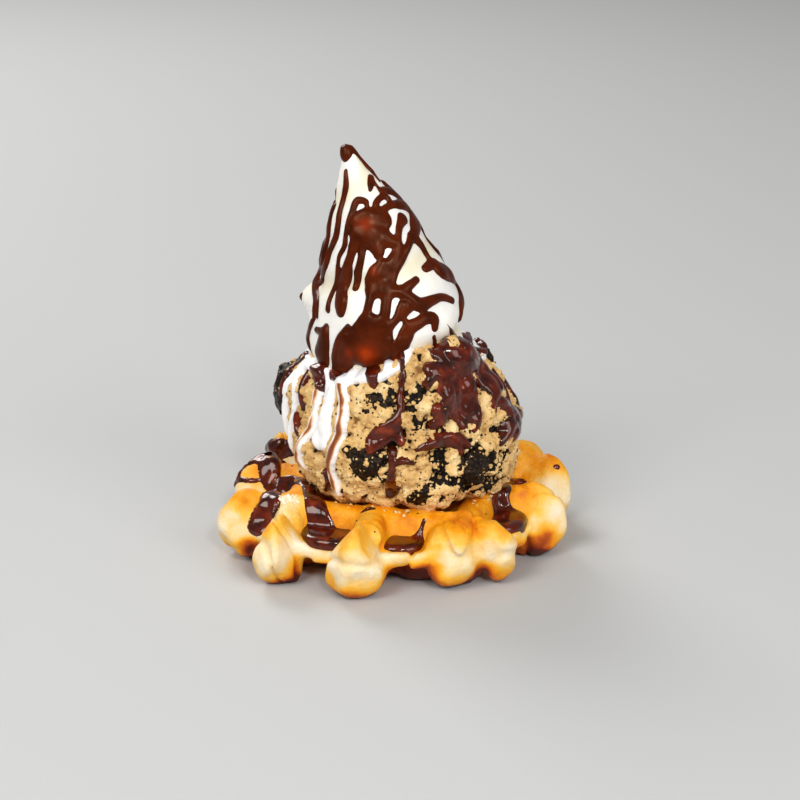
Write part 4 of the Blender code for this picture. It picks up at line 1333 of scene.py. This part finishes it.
# Sauce on the two chunks that stand free of the mound: pixels of the photo and half widths in mm.
CHUNK_STROKES = {
    1: (
        ((303, 362, 1.2), (293, 371, 1.5), (285, 382, 1.2), (281, 394, 0.9)),
        ((300, 380, 1.2), (293, 390, 1.4), (290, 402, 0.9)),
    ),
    2: (
        ((458, 335, 0.9), (467, 333, 1.1), (476, 337, 1.2), (483, 345, 1.2), (482, 356, 0.9)),
        ((464, 345, 0.9), (472, 348, 1.1), (478, 355, 1.0)),
    ),
}
SHELL_THICKNESS = 1.15
SHELL_SPREAD = 1.26
SHELL_BROAD_SPREAD = 0.16
SHELL_JOIN = 0.9
SHELL_EDGE = 0.8
SHELL_SINK = 0.8
# The shell's wavy edge and the swells on its broad parts, each with height and size in mm and seed.
SHELL_WOBBLE = (0.14, 2.2, 81)
SHELL_SWELL = (0.22, 4, 82)
SHELL_SWELL_RANGE = (-0.6, -1.8)
WET_THICKNESS = 1.25
WET_JOIN = 1
WET_EDGE = 0.8
WET_SINK = 1.2
WET_FILL = 0.84
WET_WOBBLE = (0.2, 2.4, 83)
# How far a mm of crumb that stands out drives the wet sauce's edge back, in mm.
WET_PARTING = 0.35
CHUNK_SAUCE_SINK = 1
LEAST_SWIRL_SIDE = 0.05
# Where the shell is thin over bright cream and shows red: pixels of the photo, radii in mm and how thin.
THIN_SPOTS = ((365, 224, 2.8, 0.55), (373, 268, 1.8, 0.4), (367, 353, 3.4, 0.9), (352, 352, 1.8, 0.6))

served_strokes = seen_strokes(CREAM_STROKES, served_depth, SHELL_SPREAD, SHELL_BROAD_SPREAD)
wet_strokes = seen_strokes(DOUGH_STROKES, dough_depth, STROKE_SPREAD)
for azimuths, heights, half in HIDDEN_CREAM_STROKES + HIDDEN_CREAM_POOLS:
    served_strokes.append(smooth_path(swirl_path(heights, azimuths, half * HIDDEN_SPREAD)))
for azimuths, heights, half in HIDDEN_DOUGH_STROKES:
    wet_strokes.append(smooth_path(dough_path(heights, azimuths, half * HIDDEN_SPREAD)))

# Set chocolate: fat and sugar that firmed on the cold cream to a satin skin, dark, and red where thin.
shell, shell_tree = new_material(
    "set_chocolate_shell", Roughness=0.28, Specular_IOR_Level=0.16, Specular_Tint=(1, 0.66, 0.42, 1),
)
shell_thin = add_node(shell_tree, "Attribute", attribute_name="thin").outputs["Fac"]
SHELL_MOTTLE = 0.006
shell_place = add_node(shell_tree, "TexCoord").outputs["Object"]
shell_tone = add_node(shell_tree, "TexNoise", {
    "Vector": shell_place, "Scale": 1 / SHELL_MOTTLE, "Detail": 3,
})
shell_mottled = add_node(shell_tree, "MapRange", {
    "Value": shell_tone.outputs["Fac"], "From Min": 0.35, "From Max": 0.7, "To Min": 0, "To Max": 0.3,
})
shell_level = add_node(shell_tree, "Math", {
    0: shell_thin, 1: shell_mottled.outputs["Result"],
}, operation="ADD")
shell_ramp = add_node(shell_tree, "ValToRGB", {"Fac": shell_level.outputs["Value"]}, stops=(
    (0, "#3A1002"), (0.3, "#561C05"), (0.7, "#7A2204"), (1, "#9A3205"),
))
finish_material(shell_tree, shell_ramp.outputs["Color"])

shell_outside = stroke_depth(swirl_skin, served_strokes, SHELL_JOIN) + swells(swirl_base, SHELL_WOBBLE)
shell_height = coat_height(shell_outside, SHELL_THICKNESS, SHELL_EDGE, SHELL_SINK)
shell_height += swells(swirl_base, SHELL_SWELL) * smooth_rise(shell_outside, *SHELL_SWELL_RANGE)
thin = np.zeros(len(swirl_skin))
for spot, radius, amount in seen_marks(THIN_SPOTS, served_depth):
    thin = np.maximum(thin, amount * hump(np.linalg.norm(swirl_skin - spot, axis=1), 0, radius))
shell_points = swirl_skin + (shell_height * np.maximum(swirl_side, LEAST_SWIRL_SIDE))[:, None] * swirl_normals
add_piece(
    "chocolate_on_cream", shell_points, turned_faces(SWIRL_GRID), shell, (),
    {"thin": thin},
)

wet_outside = stroke_depth(dough_base, served_strokes + wet_strokes, WET_JOIN)
wet_outside += swells(dough_base, WET_WOBBLE)
wet_outside += WET_PARTING * np.maximum(dough_relief - dough_slow, 0) * (melt_height < 0)
wet_height = coat_height(wet_outside, WET_THICKNESS, WET_EDGE, WET_SINK)
wet_offset = coat_offset(wet_height, WET_FILL, melt_offset)
add_piece("chocolate_on_dough", off_mound(wet_offset), turned_faces(DOUGH_GRID), sauce)

for number, strokes in CHUNK_STROKES.items():
    skin = chunk_skins[number - 1]
    middle, half = (skin.max(0) + skin.min(0)) / 2, (skin.max(0) - skin.min(0)) / 2
    laid = seen_strokes(strokes, lambda points: ball_depth(points, middle, half), STROKE_SPREAD)
    height = coat_height(stroke_depth(skin, laid, WET_JOIN), WET_THICKNESS, WET_EDGE, CHUNK_SAUCE_SINK)
    outward = (skin - middle) / np.linalg.norm(skin - middle, axis=1, keepdims=True)
    add_piece(
        f"chocolate_on_chunk_{number}", skin + height[:, None] * outward, turned_faces(CHUNK_GRID), sauce,
    )

# Crumbs
# Sandy bits of dough and cookie that stand out of the torn mound and its chunks or fell round its foot,
# and a pinch of coarse pale crumb on the crest at the left. Each is a rough grain of twenty faces.

CRUMB_COUNT = 150
CRUMB_RADII = (0.35, 1.1)
MOUND_CRUMB_COUNT = 4200
CHUNK_CRUMB_COUNT = 550
MOUND_CRUMB_RADII = (0.25, 0.9)
PALE_CRUMB_COUNT = 120
PALE_CRUMB_RADII = (0.35, 0.75)
# The share of black crumbs on the mound's black patches, beside them, on the chunks and round the foot.
BLACK_ON_PATCHES = 0.72
BLACK_BESIDE = 0.07
BLACK_ON_CHUNKS = 0.6
BLACK_FALLEN = 0.3
# Small crumbs are commoner than large ones by this power; each is sunk a little, and fallen ones scatter.
CRUMB_SKEW = 3
CRUMB_SUNK = 0.15
CRUMB_SCATTER = 2.2
CRUMB_CORNERS = 12
# The patch of pale crumb: its middle and half widths, in pixels of the photo.
PALE_CRUMB_MIDDLE = np.array((287, 500))
PALE_CRUMB_REACH = np.array((9, 4))


def rough_grains(places, radii, seed):
    """Icosahedra at places: golden-ratio corners, each grain stretched and its corners pushed in or out."""
    rng = np.random.default_rng(seed)
    g = (1 + math.sqrt(5)) / 2
    corners = np.array([p for a, b in product((-1, 1), (-g, g)) for p in ((0, a, b), (a, b, 0), (b, 0, a))])
    corners /= math.hypot(1, g)
    gaps = np.linalg.norm(corners[:, None] - corners[None], axis=2)
    joined = (gaps > 0) & (gaps < 1.1)
    faces = [
        (i, j, k) for i, j, k in product(range(CRUMB_CORNERS), repeat=3)
        if i < j and i < k and joined[i, j] and joined[j, k] and joined[k, i]
        and np.dot(np.cross(corners[j] - corners[i], corners[k] - corners[i]), corners[i]) > 0
    ]
    count = len(places)
    stretch = rng.uniform(0.6, 1.3, (count, 1, 3))
    shape = corners * stretch * rng.uniform(0.65, 1.2, (count, CRUMB_CORNERS, 1))
    points = places[:, None] + shape * np.asarray(radii)[:, None, None]
    first = CRUMB_CORNERS * np.arange(count)[:, None, None]
    return points.reshape(-1, 3), (np.array(faces) + first).reshape(-1, 3)


def dropped_points(spots, depth, top, bottom):
    """Where things let fall at spots (x, y) come to lie on a surface."""
    heights = np.arange(top, bottom, -0.3)
    points = np.empty((len(spots), len(heights), 3))
    points[..., :2] = spots[:, None]
    points[..., 2] = heights
    inside = depth(points.reshape(-1, 3)).reshape(points.shape[:2]) < 0
    landed = inside.any(1)
    return points[np.arange(len(spots)), inside.argmax(1)][landed]


crumb_rng = np.random.default_rng(91)
bare = (melt_height < 0) & (wet_height < 0) & (dough_side > 0.5)
ring_share = bare * dough_radius(np.minimum(dough_base[:, 2], DOUGH_TOP))
mound_sites = crumb_rng.choice(len(dough_base), MOUND_CRUMB_COUNT, p=ring_share / ring_share.sum())
chunk_skin = np.concatenate(chunk_skins)
chunk_skin = chunk_skin[dough_depth(chunk_skin) > 1]
chunk_sites = crumb_rng.choice(len(chunk_skin), CHUNK_CRUMB_COUNT)
black_share = np.where(cookie_share[mound_sites] > 0.5, BLACK_ON_PATCHES, BLACK_BESIDE)
mound_dark = crumb_rng.random(MOUND_CRUMB_COUNT) < black_share
chunk_dark = crumb_rng.random(CHUNK_CRUMB_COUNT) < BLACK_ON_CHUNKS
mound_sizes = crumb_rng.random(MOUND_CRUMB_COUNT + CHUNK_CRUMB_COUNT) ** CRUMB_SKEW
mound_sizes = MOUND_CRUMB_RADII[0] + (MOUND_CRUMB_RADII[1] - MOUND_CRUMB_RADII[0]) * mound_sizes
mound_places = dough_points[mound_sites] - CRUMB_SUNK * dough_normals[mound_sites]
stuck_points, stuck_faces = rough_grains(
    np.concatenate((mound_places, chunk_skin[chunk_sites])), mound_sizes, 94,
)
stuck_dark = np.repeat(np.concatenate((mound_dark, chunk_dark)), CRUMB_CORNERS)
add_piece(
    "stuck_crumbs", stuck_points, [stuck_faces], dough, (),
    {"cookie": stuck_dark.astype(float)},
)

crumb_turn = crumb_rng.uniform(0, math.tau, CRUMB_COUNT)
crumb_out = dough_radius(DOUGH_FOOT + 1) + crumb_rng.exponential(CRUMB_SCATTER, CRUMB_COUNT)
crumb_spots = np.column_stack((np.cos(crumb_turn), np.sin(crumb_turn))) * crumb_out[:, None] + DOUGH_CENTRE
crumb_places = dropped_points(crumb_spots, waffle_depth, 24, 12)
crumb_sizes = crumb_rng.uniform(*CRUMB_RADII, len(crumb_places))
crumb_sizes = crumb_sizes * crumb_rng.uniform(0.5, 1, len(crumb_places))
crumb_points, crumb_faces = rough_grains(crumb_places, crumb_sizes, 92)
dark_grain = np.repeat(crumb_rng.random(len(crumb_places)) < BLACK_FALLEN, CRUMB_CORNERS)
add_piece(
    "fallen_crumbs", crumb_points, [crumb_faces], dough, (),
    {"cookie": dark_grain.astype(float)},
)

pale_crumb, pale_crumb_tree = new_material("coarse_pale_crumb", Roughness=0.6)
pale_place = add_node(pale_crumb_tree, "TexCoord").outputs["Object"]
pale_tone = add_node(pale_crumb_tree, "TexNoise", {"Vector": pale_place, "Scale": 1 / SPECK_SIZE})
pale_ramp = add_node(pale_crumb_tree, "ValToRGB", {"Fac": pale_tone.outputs["Fac"]}, stops=(
    (0.35, "#E6D3A8"), (0.65, "#FBF4E2"),
))
finish_material(pale_crumb_tree, pale_ramp.outputs["Color"])
pale_pixels = PALE_CRUMB_MIDDLE + PALE_CRUMB_REACH * crumb_rng.normal(0, 0.5, (PALE_CRUMB_COUNT, 2))
pale_places = seen_point(pale_pixels, waffle_depth)
pale_sizes = crumb_rng.uniform(*PALE_CRUMB_RADII, PALE_CRUMB_COUNT)
pale_points, pale_faces = rough_grains(pale_places, pale_sizes, 93)
add_piece("pale_crumb", pale_points, [pale_faces], pale_crumb)
